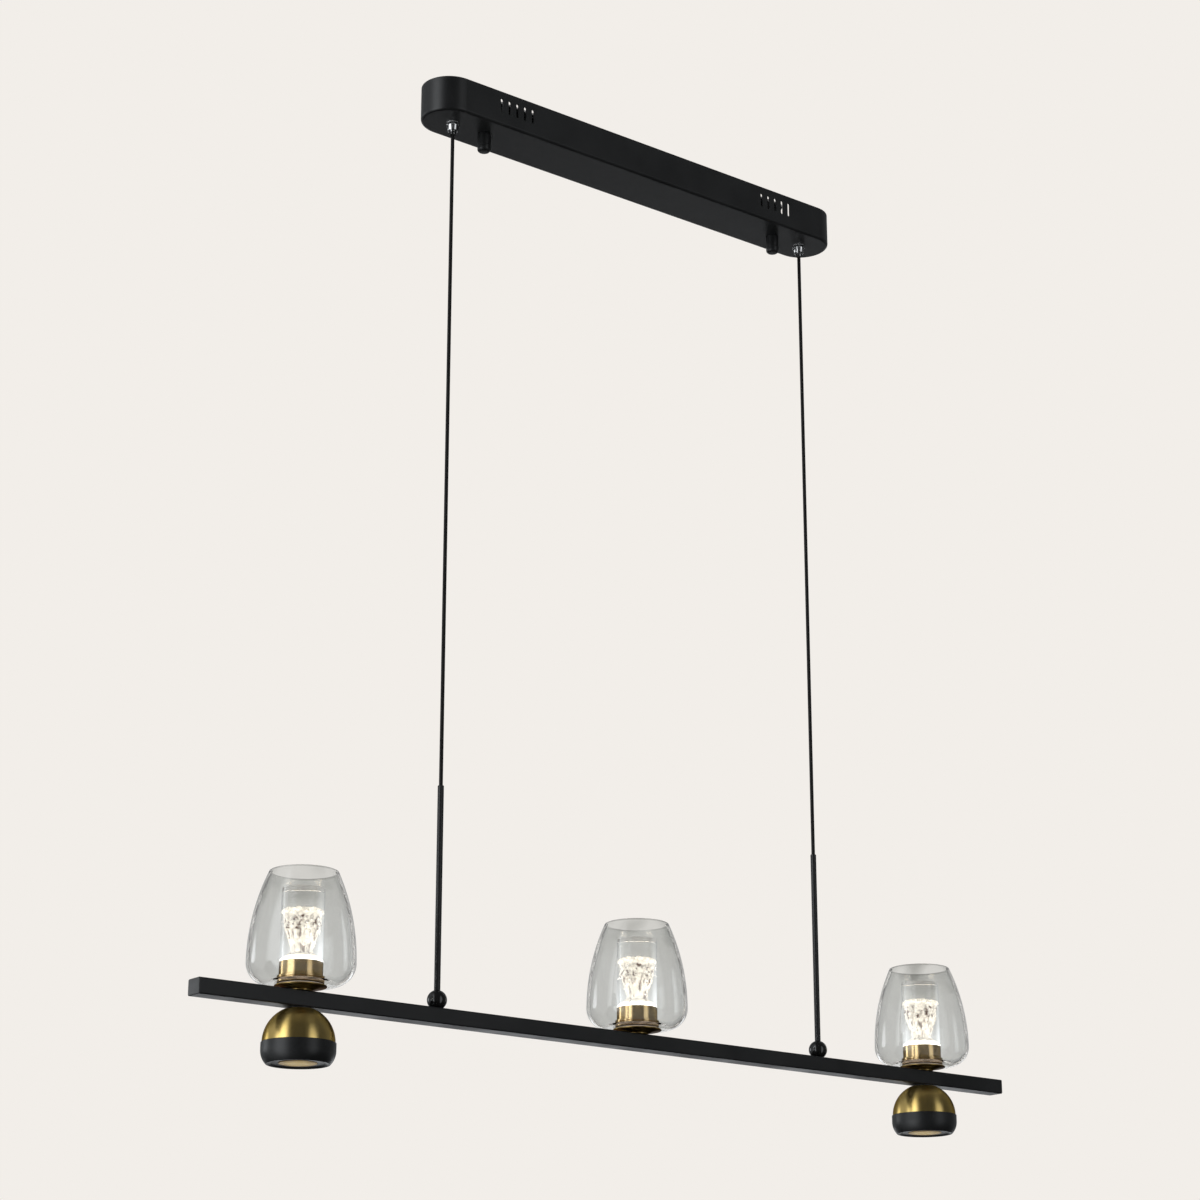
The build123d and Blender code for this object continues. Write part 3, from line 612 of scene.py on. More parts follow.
FINISHES: dict[Slot, Finish] = {
    finish.slot: finish
    for finish in (
        Coating(Slot.SATIN_BLACK, grey(0.0068, -0.10), grey(0.0044, -0.10), polish=0.34),
        Coating(
            Slot.GLOSS_BLACK, grey(0.005), grey(0.003), sheen=(0.06, 0.10), grain_depth=0.000004
        ),
        PlainMetal(Slot.CHROME, grey(0.56), grey(0.46), sheen=(0.10, 0.16)),
        PlainMetal(Slot.STEEL, grey(0.66, 0.03), grey(0.50, 0.03)),
        TurnedMetal(Slot.BRASS, (0.61, 0.45, 0.17, 1.0), (0.50, 0.36, 0.12, 1.0)),
        TurnedMetal(
            Slot.POLISHED_BRASS, (0.85, 0.62, 0.33, 1.0), (0.75, 0.52, 0.25, 1.0),
            sheen=(0.17, 0.23), spread=0.7,
        ),
        TurnedMetal(
            Slot.DARK_BRASS, (0.46, 0.33, 0.12, 1.0), (0.30, 0.20, 0.07, 1.0), sheen=(0.28, 0.38),
            edge=(0.12, 0.09, 0.06, 1.0),
        ),
        # Shade glass: its edge colour is painted shade along the outline and at the rim.
        Glass(
            Slot.CLEAR_GLASS, (0.775, 0.79, 0.79, 1.0), (0.745, 0.76, 0.755, 1.0), ior=1.05,
            gloss=(-0.9535, -0.946, 0.0, 1.0), edge=(0.42, 0.43, 0.42, 1.0),
        ),
        # Crystal column: clear glass with a painted glow near its foot and up its wall.
        Glass(
            Slot.CRYSTAL, (0.985, 0.985, 0.98, 1.0), (0.96, 0.965, 0.96, 1.0), ior=1.49,
            waves=60.0, wave_depth=0.0001, foot_light=(-0.931, -0.902, 0.18, 0.0),
        ),
        BubbleGlow(Slot.BUBBLE_LIGHT, (1.0, 0.93, 0.81, 1.0), (0.09, 0.045, 0.03, 1.0)),
        Coating(
            Slot.LED_WHITE, (1.0, 0.93, 0.80, 1.0), (0.92, 0.84, 0.70, 1.0), clouds=300.0, glow=2.0
        ),
        Coating(Slot.WHITE_PLASTIC, grey(0.82, 0.02), grey(0.74, 0.02), clouds=90.0),
        # The gasket's glow is painted light: it lifts the unlit slot under the clamp ring, though the gasket is no
        # lamp.
        Coating(
            Slot.GASKET_RUBBER, grey(0.52, 0.2), grey(0.42, 0.2), sheen=(0.5, 0.6), clouds=200.0,
            glow=0.3,
        ),
        Coating(
            Slot.PAD_FOAM, grey(0.10), grey(0.05), sheen=(0.8, 0.9), grain=2600.0,
            grain_depth=0.0003,
        ),
        Coating(
            Slot.CABLE_BLACK, grey(0.005), grey(0.003), sheen=(0.38, 0.50), polish=0.14,
            grain_depth=0.000005, clouds=140.0,
        ),
        PlainMetal(Slot.HEAT_SINK, grey(0.62), grey(0.46), sheen=(0.4, 0.55), grain_depth=0.0001),
        RingedLens(Slot.AMBER_LENS, (0.42, 0.32, 0.13, 1.0), (0.14, 0.09, 0.035, 1.0)),
    )
}


@dataclass(frozen=True)
class Corner:
    """Corner of the half section of a turned piece.

    Attributes:
        radius: Distance from the axis.
        height: Height in the frame.
        rounding: Radius that the corner is rounded to.
    """

    radius: float
    height: float
    rounding: float = 0.0

    def point(self) -> Vector:
        """Give the corner as a flat vector."""
        return Vector((self.radius, self.height))


def arc(middle: Span, radius: float, start: float, end: float, steps: int) -> list[Corner]:
    """Lay corners along an arc of a half section.

    Args:
        middle: Centre of the arc, as distance from the axis and height.
        radius: Radius of the arc.
        start: First angle in degrees, 0 pointing away from the axis and 90 up.
        end: Last angle in degrees.
        steps: Number of steps.

    Returns:
        The corners from start to end.
    """
    angles = [math.radians(start + (end - start) * step / steps) for step in range(steps + 1)]
    return [
        Corner(middle[0] + radius * math.cos(angle), middle[1] + radius * math.sin(angle))
        for angle in angles
    ]


def bow(draw_in: float, rise: float) -> Span:
    """Give radius and sweep, in degrees, of an arc that starts upright and draws in on its way."""
    radius = (draw_in**2 + rise**2) / (2 * draw_in)
    return radius, math.degrees(math.asin(rise / radius))


def soften(corners: Sequence[Corner], steps: int = 5) -> list[Vector]:
    """Round the corners of a closed half section.

    Args:
        corners: Corners in order.
        steps: Steps of each rounding.

    Returns:
        Points of the rounded section.
    """
    most_of_a_side = 0.48
    points: list[Vector] = []
    for index, corner in enumerate(corners):
        here = corner.point()
        if corner.rounding == 0.0:
            points.append(here)
            continue
        back = corners[index - 1].point() - here
        ahead = corners[(index + 1) % len(corners)].point() - here
        half = back.angle(ahead) / 2
        room = most_of_a_side * min(back.length, ahead.length)
        reach = min(corner.rounding / math.tan(half), room)
        back.normalize()
        ahead.normalize()
        middle = here + (back + ahead).normalized() * reach / math.cos(half)
        first = here + back * reach - middle
        turn = first.angle_signed(here + ahead * reach - middle)
        for step in range(steps + 1):
            points.append(middle + Matrix.Rotation(-turn * step / steps, 2) @ first)
    return points


@dataclass(frozen=True)
class Fluting:
    """Straight knurling round part of a turned piece.

    Attributes:
        count: Flutes round the piece.
        depth: Depth of a flute.
        low: Lowest height of the knurled band.
        high: Highest height of the knurled band.
        inner: Radius below which nothing is knurled.
    """

    count: int
    depth: float
    low: float
    high: float
    inner: float

    def cut(self, point: Vector, angle: float) -> float:
        """Give how deep the knurling cuts at a point of the section and an angle.

        Args:
            point: Point of the half section.
            angle: Angle round the axis.

        Returns:
            Depth of the cut.
        """
        if self.low < point.y < self.high and point.x > self.inner:
            return self.depth * (0.5 - 0.5 * math.cos(self.count * angle))
        return 0.0


def join(mesh: bmesh.types.BMesh, low: Ring, high: Ring, inwards: bool = False) -> None:
    """Join two rings of points by a band of faces.

    Args:
        mesh: Mesh to add to.
        low: First ring, which holds one point many times where it is on the axis.
        high: Second ring.
        inwards: Whether the faces look inwards.
    """
    for step in range(len(low)):
        side = (step + 1) % len(low)
        face = list(dict.fromkeys((low[step], low[side], high[side], high[step])))
        if len(face) > 2:
            mesh.faces.new(face[::-1] if inwards else face)


def lathe(
    mesh: bmesh.types.BMesh, section: Sequence[Vector], x: float, sides: int,
    fluting: Fluting | None = None,
) -> None:
    """Sweep a closed half section round an upright axis into a mesh.

    Args:
        mesh: Mesh to add to.
        section: Points of the half section.
        x: Place of the axis along the bar.
        sides: Sides round the axis.
        fluting: Knurling to cut.
    """
    on_axis = 1e-6
    rings: list[Ring] = []
    for point in section:
        if point.x < on_axis:
            rings.append([mesh.verts.new((x, 0.0, point.y))] * sides)
            continue
        ring = []
        for side in range(sides):
            angle = math.tau * side / sides
            radius = point.x - (fluting.cut(point, angle) if fluting else 0.0)
            spot = (x + radius * math.cos(angle), radius * math.sin(angle), point.y)
            ring.append(mesh.verts.new(spot))
        rings.append(ring)
    for ring, after in zip(rings, rings[1:] + rings[:1]):
        join(mesh, ring, after)
    bmesh.ops.recalc_face_normals(mesh, faces=mesh.faces)


def add_ball(
    mesh: bmesh.types.BMesh, middle: Vector, radius: float, hollow: bool = False, rows: int = 6
) -> None:
    """Add a small ball to a mesh.

    Args:
        mesh: Mesh to add to.
        middle: Centre of the ball.
        radius: Radius of the ball.
        hollow: Whether its faces look inwards, as those of a bubble do.
        rows: Rows of faces from pole to pole.
    """
    columns = 2 * rows
    levels: list[Ring] = []
    for row in range(rows + 1):
        tilt = math.pi * (row / rows - 0.5)
        rise = radius * math.sin(tilt)
        reach = radius * math.cos(tilt)
        if row in (0, rows):
            levels.append([mesh.verts.new(middle + Vector((0.0, 0.0, rise)))] * columns)
            continue
        turns = [math.tau * column / columns for column in range(columns)]
        around = [Vector((reach * math.cos(turn), reach * math.sin(turn), rise)) for turn in turns]
        levels.append([mesh.verts.new(middle + offset) for offset in around])
    for low, high in zip(levels, levels[1:]):
        join(mesh, low, high, hollow)


def cast(name: str, mesh: bmesh.types.BMesh) -> bpy.types.Mesh:
    """Turn a working mesh into lasting mesh data.

    Args:
        name: Name of the data.
        mesh: Mesh to use up.

    Returns:
        The mesh data.
    """
    data = bpy.data.meshes.new(name)
    mesh.to_mesh(data)
    mesh.free()
    return data


def show(name: str, data: bpy.types.ID) -> bpy.types.Object:
    """Put a new object into the scene.

    Args:
        name: Name of the object.
        data: Mesh, light or camera that it holds.

    Returns:
        The object.
    """
    made = bpy.data.objects.new(name, data)
    bpy.context.scene.collection.objects.link(made)
    return made


@dataclass(frozen=True)
class Fit:
    """Space that a piece takes up for a frame node.

    Attributes:
        node: Name of the node.
        x: Place of the upright axis along the bar.
        radius: Radius about that axis.
        low: Height of the foot.
        high: Height of the top.
    """

    node: str
    x: float
    radius: float
    low: float
    high: float

    @classmethod
    def measure(cls, node: str) -> "Fit":
        """Measure a node that stands on one axis."""
        low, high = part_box(node)
        return cls(node, (low.x + high.x) / 2, (high.x - low.x) / 2, low.z, high.z)


@dataclass
class Assembly:
    """Sub-assembly at one place along the bar.

    Attributes:
        place: Left, middle or right.
        body: Body of the frame that carries its pieces.
    """

    place: Place
    body: ClassVar[Body] = Body.BAR

    def name(self, piece: str) -> str:
        """Give the whole name of one of the sub-assembly's pieces or nodes."""
        return f"{piece}_{self.place.value}"

    def fit(self, node: str) -> Fit:
        """Measure one of the sub-assembly's nodes."""
        return Fit.measure(self.name(node))

    def turn(
        self, piece: str, corners: Sequence[Corner], fit: Fit, slot: Slot, sides: int = 96,
        fluting: Fluting | None = None,
    ) -> bpy.types.Object:
        """Make a turned piece.

        Args:
            piece: Name of the piece, without its place.
            corners: Corners of its closed half section.
            fit: Space of the node that it stands for.
            slot: Slot whose finish it wears.
            sides: Sides round the axis.
            fluting: Knurling to cut.

        Returns:
            The piece.
        """
        mesh = bmesh.new()
        lathe(mesh, soften(corners), fit.x, sides, fluting)
        return self.settle(piece, mesh, fit, slot)

    def settle(
        self, piece: str, mesh: bmesh.types.BMesh, fit: Fit, slot: Slot
    ) -> bpy.types.Object:
        """Make a smooth piece from a mesh, dress it and let it stand for a node of the frame.

        Args:
            piece: Name of the piece, without its place.
            mesh: Mesh to use up.
            fit: Space of the node that it stands for.
            slot: Slot whose finish it wears.

        Returns:
            The piece.
        """
        data = cast(self.name(piece), mesh)
        data.shade_smooth()
        data.set_sharp_from_angle(angle=math.radians(CREASE))
        data.materials.append(FINISHES[slot].material())
        made = show(self.name(piece), data)
        made.modifiers.new("even_normals", "WEIGHTED_NORMAL").keep_sharp = True
        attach(made, self.body.value)
        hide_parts(fit.node)
        log.info("%s: %s on %s, for %s", made.name, slot.value, self.body.value, fit.node)
        return made


@dataclass
class SuspensionCable(Assembly):
    """Taut cable from a gripper in the canopy down to its rod.

    Attributes:
        diameter: Diameter of the sheath.
        sides: Sides of the tube.
        lead_in: Diameters from an end to the nearest inner point of the route.
    """

    body: ClassVar[Body] = Body.SUSPENSION
    diameter: float = 0.0038
    sides: int = 24
    lead_in: float = 6.0

    def route(self, fit: Fit) -> list[Vector]:
        """Give the points that control the cable's line.

        Args:
            fit: Space of the cable's node.

        Returns:
            Points from the gripper's sleeve to the top of the rod.
        """
        lead = Vector((0.0, 0.0, self.lead_in * self.diameter))
        top = Vector((fit.x, 0.0, fit.high))
        bottom = Vector((fit.x, 0.0, fit.low))
        return [top, top - lead, bottom + lead, bottom]

    def line(self, points: Sequence[Vector]) -> list[Vector]:
        """Read points along the smooth line that the route's points control.

        Args:
            points: The route's points.

        Returns:
            Points from top to bottom.
        """
        curve = bpy.data.curves.new("cable_route", "CURVE")
        curve.dimensions = "3D"
        spline = curve.splines.new("NURBS")
        spline.points.add(len(points) - 1)
        for knot, point in zip(spline.points, points):
            knot.co = (*point, 1.0)
        spline.order_u = 3
        spline.use_endpoint_u = True
        holder = bpy.data.objects.new("cable_route", curve)
        line = [vertex.co.copy() for vertex in bpy.data.meshes.new_from_object(holder).vertices]
        bpy.data.objects.remove(holder)
        return line

    def build(self) -> None:
        """Make the sheath with a rounded top and hang it between gripper and rod."""
        fit = self.fit("suspension_cable")
        line = self.line(self.route(fit))
        radius = self.diameter / 2
        shoulder = line[0].z - radius
        section = [
            *arc((0.0, shoulder), radius, 90.0, 0.0, steps=5),
            *[Corner(radius, point.z) for point in line if point.z < shoulder],
            Corner(0.0, line[-1].z),
        ]
        piece = self.turn("cable", section, fit, Slot.CABLE_BLACK, self.sides)
        self.shorten(piece, line)

    def shorten(self, piece: bpy.types.Object, line: Sequence[Vector]) -> None:
        """Give the cable its own copy of its mesh; the swing's pivot is worked out but not used.

        Args:
            piece: The cable.
            line: Points along its middle.
        """
        joints = {joint["name"]: joint for joint in frame["joints"]}
        pivot = (line[0].x, 0.0, joints["swing"]["pos_m"][2])
        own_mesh(piece)


@dataclass
class CanopyEnd(Assembly):
    """Cable gripper and cap nut under one end of the ceiling box.

    Attributes:
        collar_height: Knurled collar under the canopy.
        collar_radius: Radius of the collar.
        flutes: Flutes round the collar.
        flute_sides: Sides of a flute.
        barrel_radius: Radius of the barrel under the collar.
        tip_radius: Radius of the barrel's tip.
        nose_radius: Bore for the release sleeve.
        stem_radius: Radius of the threaded stem inside the canopy.
        edge: Rounding of the gripper's edges.
        cap_rounding: Rounding of a cap nut's end.
        cap_line: Height of the line round a cap nut, as a share of its length.
        groove: Width and depth of that line.
    """

    body: ClassVar[Body] = Body.CANOPY
    collar_height: float = 0.003
    collar_radius: float = 0.007
    flutes: int = 36
    flute_sides: int = 4
    barrel_radius: float = 0.0065
    tip_radius: float = 0.0053
    nose_radius: float = 0.00355
    stem_radius: float = 0.005
    edge: float = 0.0004
    cap_rounding: float = 0.004
    cap_line: float = 0.34
    groove: float = 0.0004

    def build(self) -> None:
        """Make the gripper and the cap nut."""
        self.gripper()
        self.cap_nut()

    def gripper(self) -> None:
        """Make the cable gripper with a knurled collar."""
        fit = self.fit("gripper_body")
        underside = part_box("canopy_shell")[0].z
        foot = underside - self.collar_height
        corners = [
            Corner(self.nose_radius, fit.high),
            Corner(self.stem_radius, fit.high, self.edge),
            Corner(self.stem_radius, underside),
            Corner(self.collar_radius, underside),
            Corner(self.collar_radius, underside - self.edge),
            Corner(self.collar_radius, foot + self.edge),
            Corner(self.collar_radius, foot, self.edge),
            Corner(self.barrel_radius, foot, self.edge),
            Corner(self.tip_radius, fit.low, 2 * self.edge),
            Corner(self.nose_radius, fit.low, self.edge),
        ]
        knurl = Fluting(self.flutes, self.edge, foot, underside, self.barrel_radius)
        sides = self.flute_sides * self.flutes
        self.turn("cable_gripper", corners, fit, Slot.CHROME, sides, knurl)

    def cap_nut(self) -> None:
        """Make the round cap nut with a domed end and a line round its side."""
        low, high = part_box("cap_nuts")
        radius = (high.y - low.y) / 2
        x = low.x + radius if self.place is Place.LEFT else high.x - radius
        line = low.z + self.cap_line * (high.z - low.z)
        corners = [
            Corner(0.0, high.z),
            Corner(radius, high.z, self.groove),
            Corner(radius, line + self.groove, self.groove / 2),
            Corner(radius - self.groove, line),
            Corner(radius, line - self.groove, self.groove / 2),
            Corner(radius, low.z, self.cap_rounding),
            Corner(0.0, low.z),
        ]
        self.turn("cap_nut", corners, Fit("cap_nuts", x, radius, low.z, high.z), Slot.SATIN_BLACK)


@dataclass
class Hanger(Assembly):
    """Rod that takes a cable's end, and the ball at its foot.

    Attributes:
        rod_bore: Radius of the rod's bore.
        rod_edge: Rounding of the rod's top.
        flat: Radius of the flat under the ball.
    """

    rod_bore: float = 0.0021
    rod_edge: float = 0.0006
    flat: float = 0.0045

    def build(self) -> None:
        """Make the rod and the ball."""
        self.rod()
        self.ball()

    def rod(self) -> None:
        """Make the slim tube with a rounded top."""
        fit = self.fit("rod")
        corners = [
            Corner(self.rod_bore, fit.low),
            Corner(fit.radius, fit.low),
            Corner(fit.radius, fit.high, self.rod_edge),
            Corner(self.rod_bore, fit.high, self.rod_edge / 2),
        ]
        self.turn("hanger_rod", corners, fit, Slot.SATIN_BLACK, sides=48)

    def ball(self) -> None:
        """Make the lacquered ball, flat below and closed round the rod above."""
        fit = self.fit("ball")
        hole = self.fit("rod").radius
        below = math.degrees(math.acos(self.flat / fit.radius))
        above = math.degrees(math.acos(hole / fit.radius))
        middle = fit.low + fit.radius * math.sin(math.radians(below))
        corners = [
            *arc((0.0, middle), fit.radius, -below, above, steps=40),
            Corner(hole, fit.low),
        ]
        self.turn("hanger_ball", corners, fit, Slot.GLOSS_BLACK, sides=128)


@dataclass
class UpwardLamp(Assembly):
    """Glass shade round a crystal column that is lit from its foot.

    Attributes:
        seat_foot: Radius and height of the dish's foot.
        seat_lip: Height of the dish's rim.
        seat_bow: How far the dish's flare bows in.
        seat_steps: Steps of the dish's flare.
        shade_diameter: Widest diameter of the glass.
        shade_height: Height of the glass.
        rim_diameter: Diameter of the open rim.
        rim_polish: Rounding of the rim, as a share of the wall.
        shade_corner: Radius between the glass's base and side.
        shade_wall: Thickness of the glass.
        shade_hole: Radius of the hole in the glass's base.
        thread: Radius of the threaded tube that holds it all.
        ring_radius: Radius of the clamp ring.
        ring_line: Width and depth of the line round the ring.
        cup_wall: Wall of the cup at its rim.
        cup_ledge: Shelf in the cup for the light source.
        cup_floor: Thickness of the cup's floor.
        edge: Rounding of the edges of metal and column.
        core_base: Radius and rise of the core's base.
        core_waist: Radius and rise of its waist.
        core_shoulder: Radius and rise of its shoulder.
        core_top: Radius and rise of its top.
        core_edge: Rounding of its top.
        beads: Lit bubbles on the core.
        bead_sizes: Smallest and largest radius of a lit bubble.
        crown_beads: Lit bubbles round the core's top.
        crown_bead: Radius of such a bubble.
        crown_stray: How far such a bubble strays from its place round the top, in places.
        crown_sink: How far its middle lies below the top, in radii.
        bubbles: Clear bubbles in the column.
        bubble_sizes: Smallest and largest radius of a clear bubble.
    """

    seat_foot: Span = (0.011, 0.001)
    seat_lip: float = 0.001
    seat_bow: float = 0.0007
    seat_steps: int = 12
    shade_diameter: float = 0.100
    shade_height: float = 0.105
    rim_diameter: float = 0.063
    rim_polish: float = 0.45
    shade_corner: float = 0.020
    shade_wall: float = 0.003
    shade_hole: float = 0.0052
    thread: float = 0.00505
    ring_radius: float = 0.0215
    ring_line: float = 0.0008
    cup_wall: float = 0.0018
    cup_ledge: float = 0.0016
    cup_floor: float = 0.002
    edge: float = 0.0004
    core_base: Span = (0.016, 0.004)
    core_waist: Span = (0.00625, 0.011)
    core_shoulder: Span = (0.011, 0.034)
    core_top: Span = (0.012, 0.051)
    core_edge: float = 0.004
    beads: int = 110
    bead_sizes: Span = (0.0008, 0.0018)
    crown_beads: int = 15
    crown_bead: float = 0.0026
    crown_stray: Span = (-0.2, 0.2)
    crown_sink: Span = (0.6, 1.0)
    bubbles: int = 50
    bubble_sizes: Span = (0.0003, 0.0009)

    @cached_property
    def x(self) -> float:
        """Place of the lamp's axis along the bar."""
        return Fit.measure(self.name("glass_shade")).x

    @cached_property
    def core_foot(self) -> float:
        """Height of the core's foot on the light source's board."""
        return self.fit("bubble_core").low

    def fit(self, node: str) -> Fit:
        """Measure one of the lamp's nodes, on the lamp's axis."""
        return replace(super().fit(node), x=self.x)

    def spot(self, turn: float, reach: float, rise: float) -> Vector:
        """Give a point at an angle round the axis, a distance from it and a rise above the foot."""
        side = self.x + reach * math.cos(turn)
        return Vector((side, reach * math.sin(turn), self.core_foot + rise))

    def build(self) -> None:
        """Make the lamp from the bar upwards."""
        self.seat()
        self.shade()
        self.ring()
        self.cup()
        self.column()
        self.core()

    def seat(self) -> None:
        """Make the turned dish under the glass."""
        fit = self.fit("shade_seat")
        foot, foot_rise = self.seat_foot
        start = Vector((foot, fit.low + foot_rise))
        end = Vector((fit.radius, fit.high - self.seat_lip))
        inwards = Vector((start.y - end.y, end.x - start.x)).normalized() * self.seat_bow
        flare = []
        for step in range(self.seat_steps + 1):
            share = step / self.seat_steps
            flare.append(Corner(*(start.lerp(end, share) + inwards * math.sin(math.pi * share))))
        corners = [
            Corner(self.thread, fit.low),
            Corner(foot, fit.low, self.edge),
            *flare,
            Corner(fit.radius, fit.high, self.edge),
            Corner(self.thread, fit.high),
        ]
        self.turn("seat_dish", corners, fit, Slot.DARK_BRASS)

    def shade(self) -> None:
        """Make the glass: flat base, round corner, long inward curve and a polished rim."""
        fit = self.fit("glass_shade")
        widest = self.shade_diameter / 2
        draw_in = (self.shade_diameter - self.rim_diameter) / 2
        bend, sweep = bow(draw_in, self.shade_height - self.shade_corner)
        side = (widest - bend, fit.low + self.shade_corner)
        foot = (widest - self.shade_corner, fit.low + self.shade_corner)
        outside = arc(side, bend, 0.0, sweep, steps=28)
        inside = arc(side, bend - self.shade_wall, sweep, 0.0, steps=28)
        polish = self.rim_polish * self.shade_wall
        corners = [
            Corner(self.shade_hole, fit.low),
            *arc(foot, self.shade_corner, -90.0, 0.0, steps=18)[:-1],
            *outside[:-1],
            replace(outside[-1], rounding=polish),
            replace(inside[0], rounding=polish),
            *inside[1:-1],
            *arc(foot, self.shade_corner - self.shade_wall, 0.0, -90.0, steps=18),
            Corner(self.shade_hole, fit.low + self.shade_wall),
        ]
        self.turn("shade_glass", corners, fit, Slot.CLEAR_GLASS, sides=160)

    def ring(self) -> None:
        """Make the clamp ring inside the glass, with a line round its middle."""
        low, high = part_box("clamp_rings")
        radius = self.ring_radius
        level = (low.z + high.z) / 2
        corners = [
            Corner(self.thread, low.z),
            Corner(radius, low.z, self.edge),
            Corner(radius, level - self.ring_line / 2, self.edge / 2),
            Corner(radius - self.ring_line, level),
            Corner(radius, level + self.ring_line / 2, self.edge / 2),
            Corner(radius, high.z, self.edge),
            Corner(self.thread, high.z),
        ]
        fit = Fit("clamp_rings", self.x, radius, low.z, high.z)
        self.turn("clamp_ring", corners, fit, Slot.POLISHED_BRASS)

    def cup(self) -> None:
        """Make the cup that holds the light source and the column."""
        fit = self.fit("lamp_cup")
        bore = fit.radius - self.cup_wall
        shelf = self.fit("led_board").low
        floor = fit.low + self.cup_floor
        corners = [
            Corner(self.thread, fit.low),
            Corner(fit.radius, fit.low, self.edge),
            Corner(fit.radius, fit.high, self.edge),
            Corner(bore, fit.high, self.edge),
            Corner(bore, shelf),
            Corner(bore - self.cup_ledge, shelf),
            Corner(bore - self.cup_ledge, floor),
            Corner(self.thread, floor),
        ]
        self.turn("brass_cup", corners, fit, Slot.POLISHED_BRASS, sides=128)

    def column(self) -> None:
        """Make the clear column with loose bubbles cast in it."""
        fit = self.fit("crystal_column")
        corners = [
            Corner(0.0, fit.high),
            Corner(fit.radius, fit.high, self.edge),
            Corner(fit.radius, fit.low, self.edge),
            Corner(0.0, fit.low),
        ]
        mesh = bmesh.new()
        lathe(mesh, soften(corners), fit.x, sides=128)
        draw = random.Random(f"bubbles {self.place.value}")
        clear = 2 * self.bubble_sizes[1]
        for _ in range(self.bubbles):
            rise = draw.triangular(self.core_waist[1], self.core_top[1], self.core_shoulder[1])
            reach = draw.uniform(self.core_top[0] + clear, fit.radius - clear)
            size = draw.uniform(*self.bubble_sizes)
            middle = self.spot(draw.uniform(0.0, math.tau), reach, rise)
            add_ball(mesh, middle, size, hollow=True)
        self.settle("crystal", mesh, fit, Slot.CRYSTAL)

    def core(self) -> None:
        """Make the glowing cone: a flared foot, a slim waist and a head crowded with bubbles."""
        fit = self.fit("bubble_core")
        base, base_rise = self.core_base
        waist, waist_rise = self.core_waist
        shoulder, shoulder_rise = self.core_shoulder
        top, top_rise = self.core_top
        flare = waist_rise - base_rise
        corners = [
            Corner(0.0, fit.low),
            Corner(base, fit.low),
            Corner(base, fit.low + base_rise / 2, self.edge),
            Corner(waist, fit.low + waist_rise, flare / 2),
            Corner(shoulder, fit.low + shoulder_rise, flare),
            Corner(top, fit.low + top_rise, self.core_edge),
            Corner(0.0, fit.low + top_rise),
        ]
        mesh = bmesh.new()
        lathe(mesh, soften(corners, steps=8), fit.x, sides=96)
        draw = random.Random(f"beads {self.place.value}")
        for bead in range(self.crown_beads):
            turn = math.tau * (bead + draw.uniform(*self.crown_stray)) / self.crown_beads
            rise = top_rise - self.crown_bead * draw.uniform(*self.crown_sink)
            middle = self.spot(turn, top - self.crown_bead / 2, rise)
            add_ball(mesh, middle, self.crown_bead, rows=8)
        for _ in range(self.beads):
            rise = draw.triangular(waist_rise, top_rise - self.core_edge / 2, top_rise)
            share = min(1.0, (rise - waist_rise) / (shoulder_rise - waist_rise))
            size = draw.uniform(*self.bead_sizes)
            reach = waist + (shoulder - waist) * share - size / 2
            add_ball(mesh, self.spot(draw.uniform(0.0, math.tau), reach, rise), size)
        self.settle("bubble_cone", mesh, fit, Slot.BUBBLE_LIGHT)


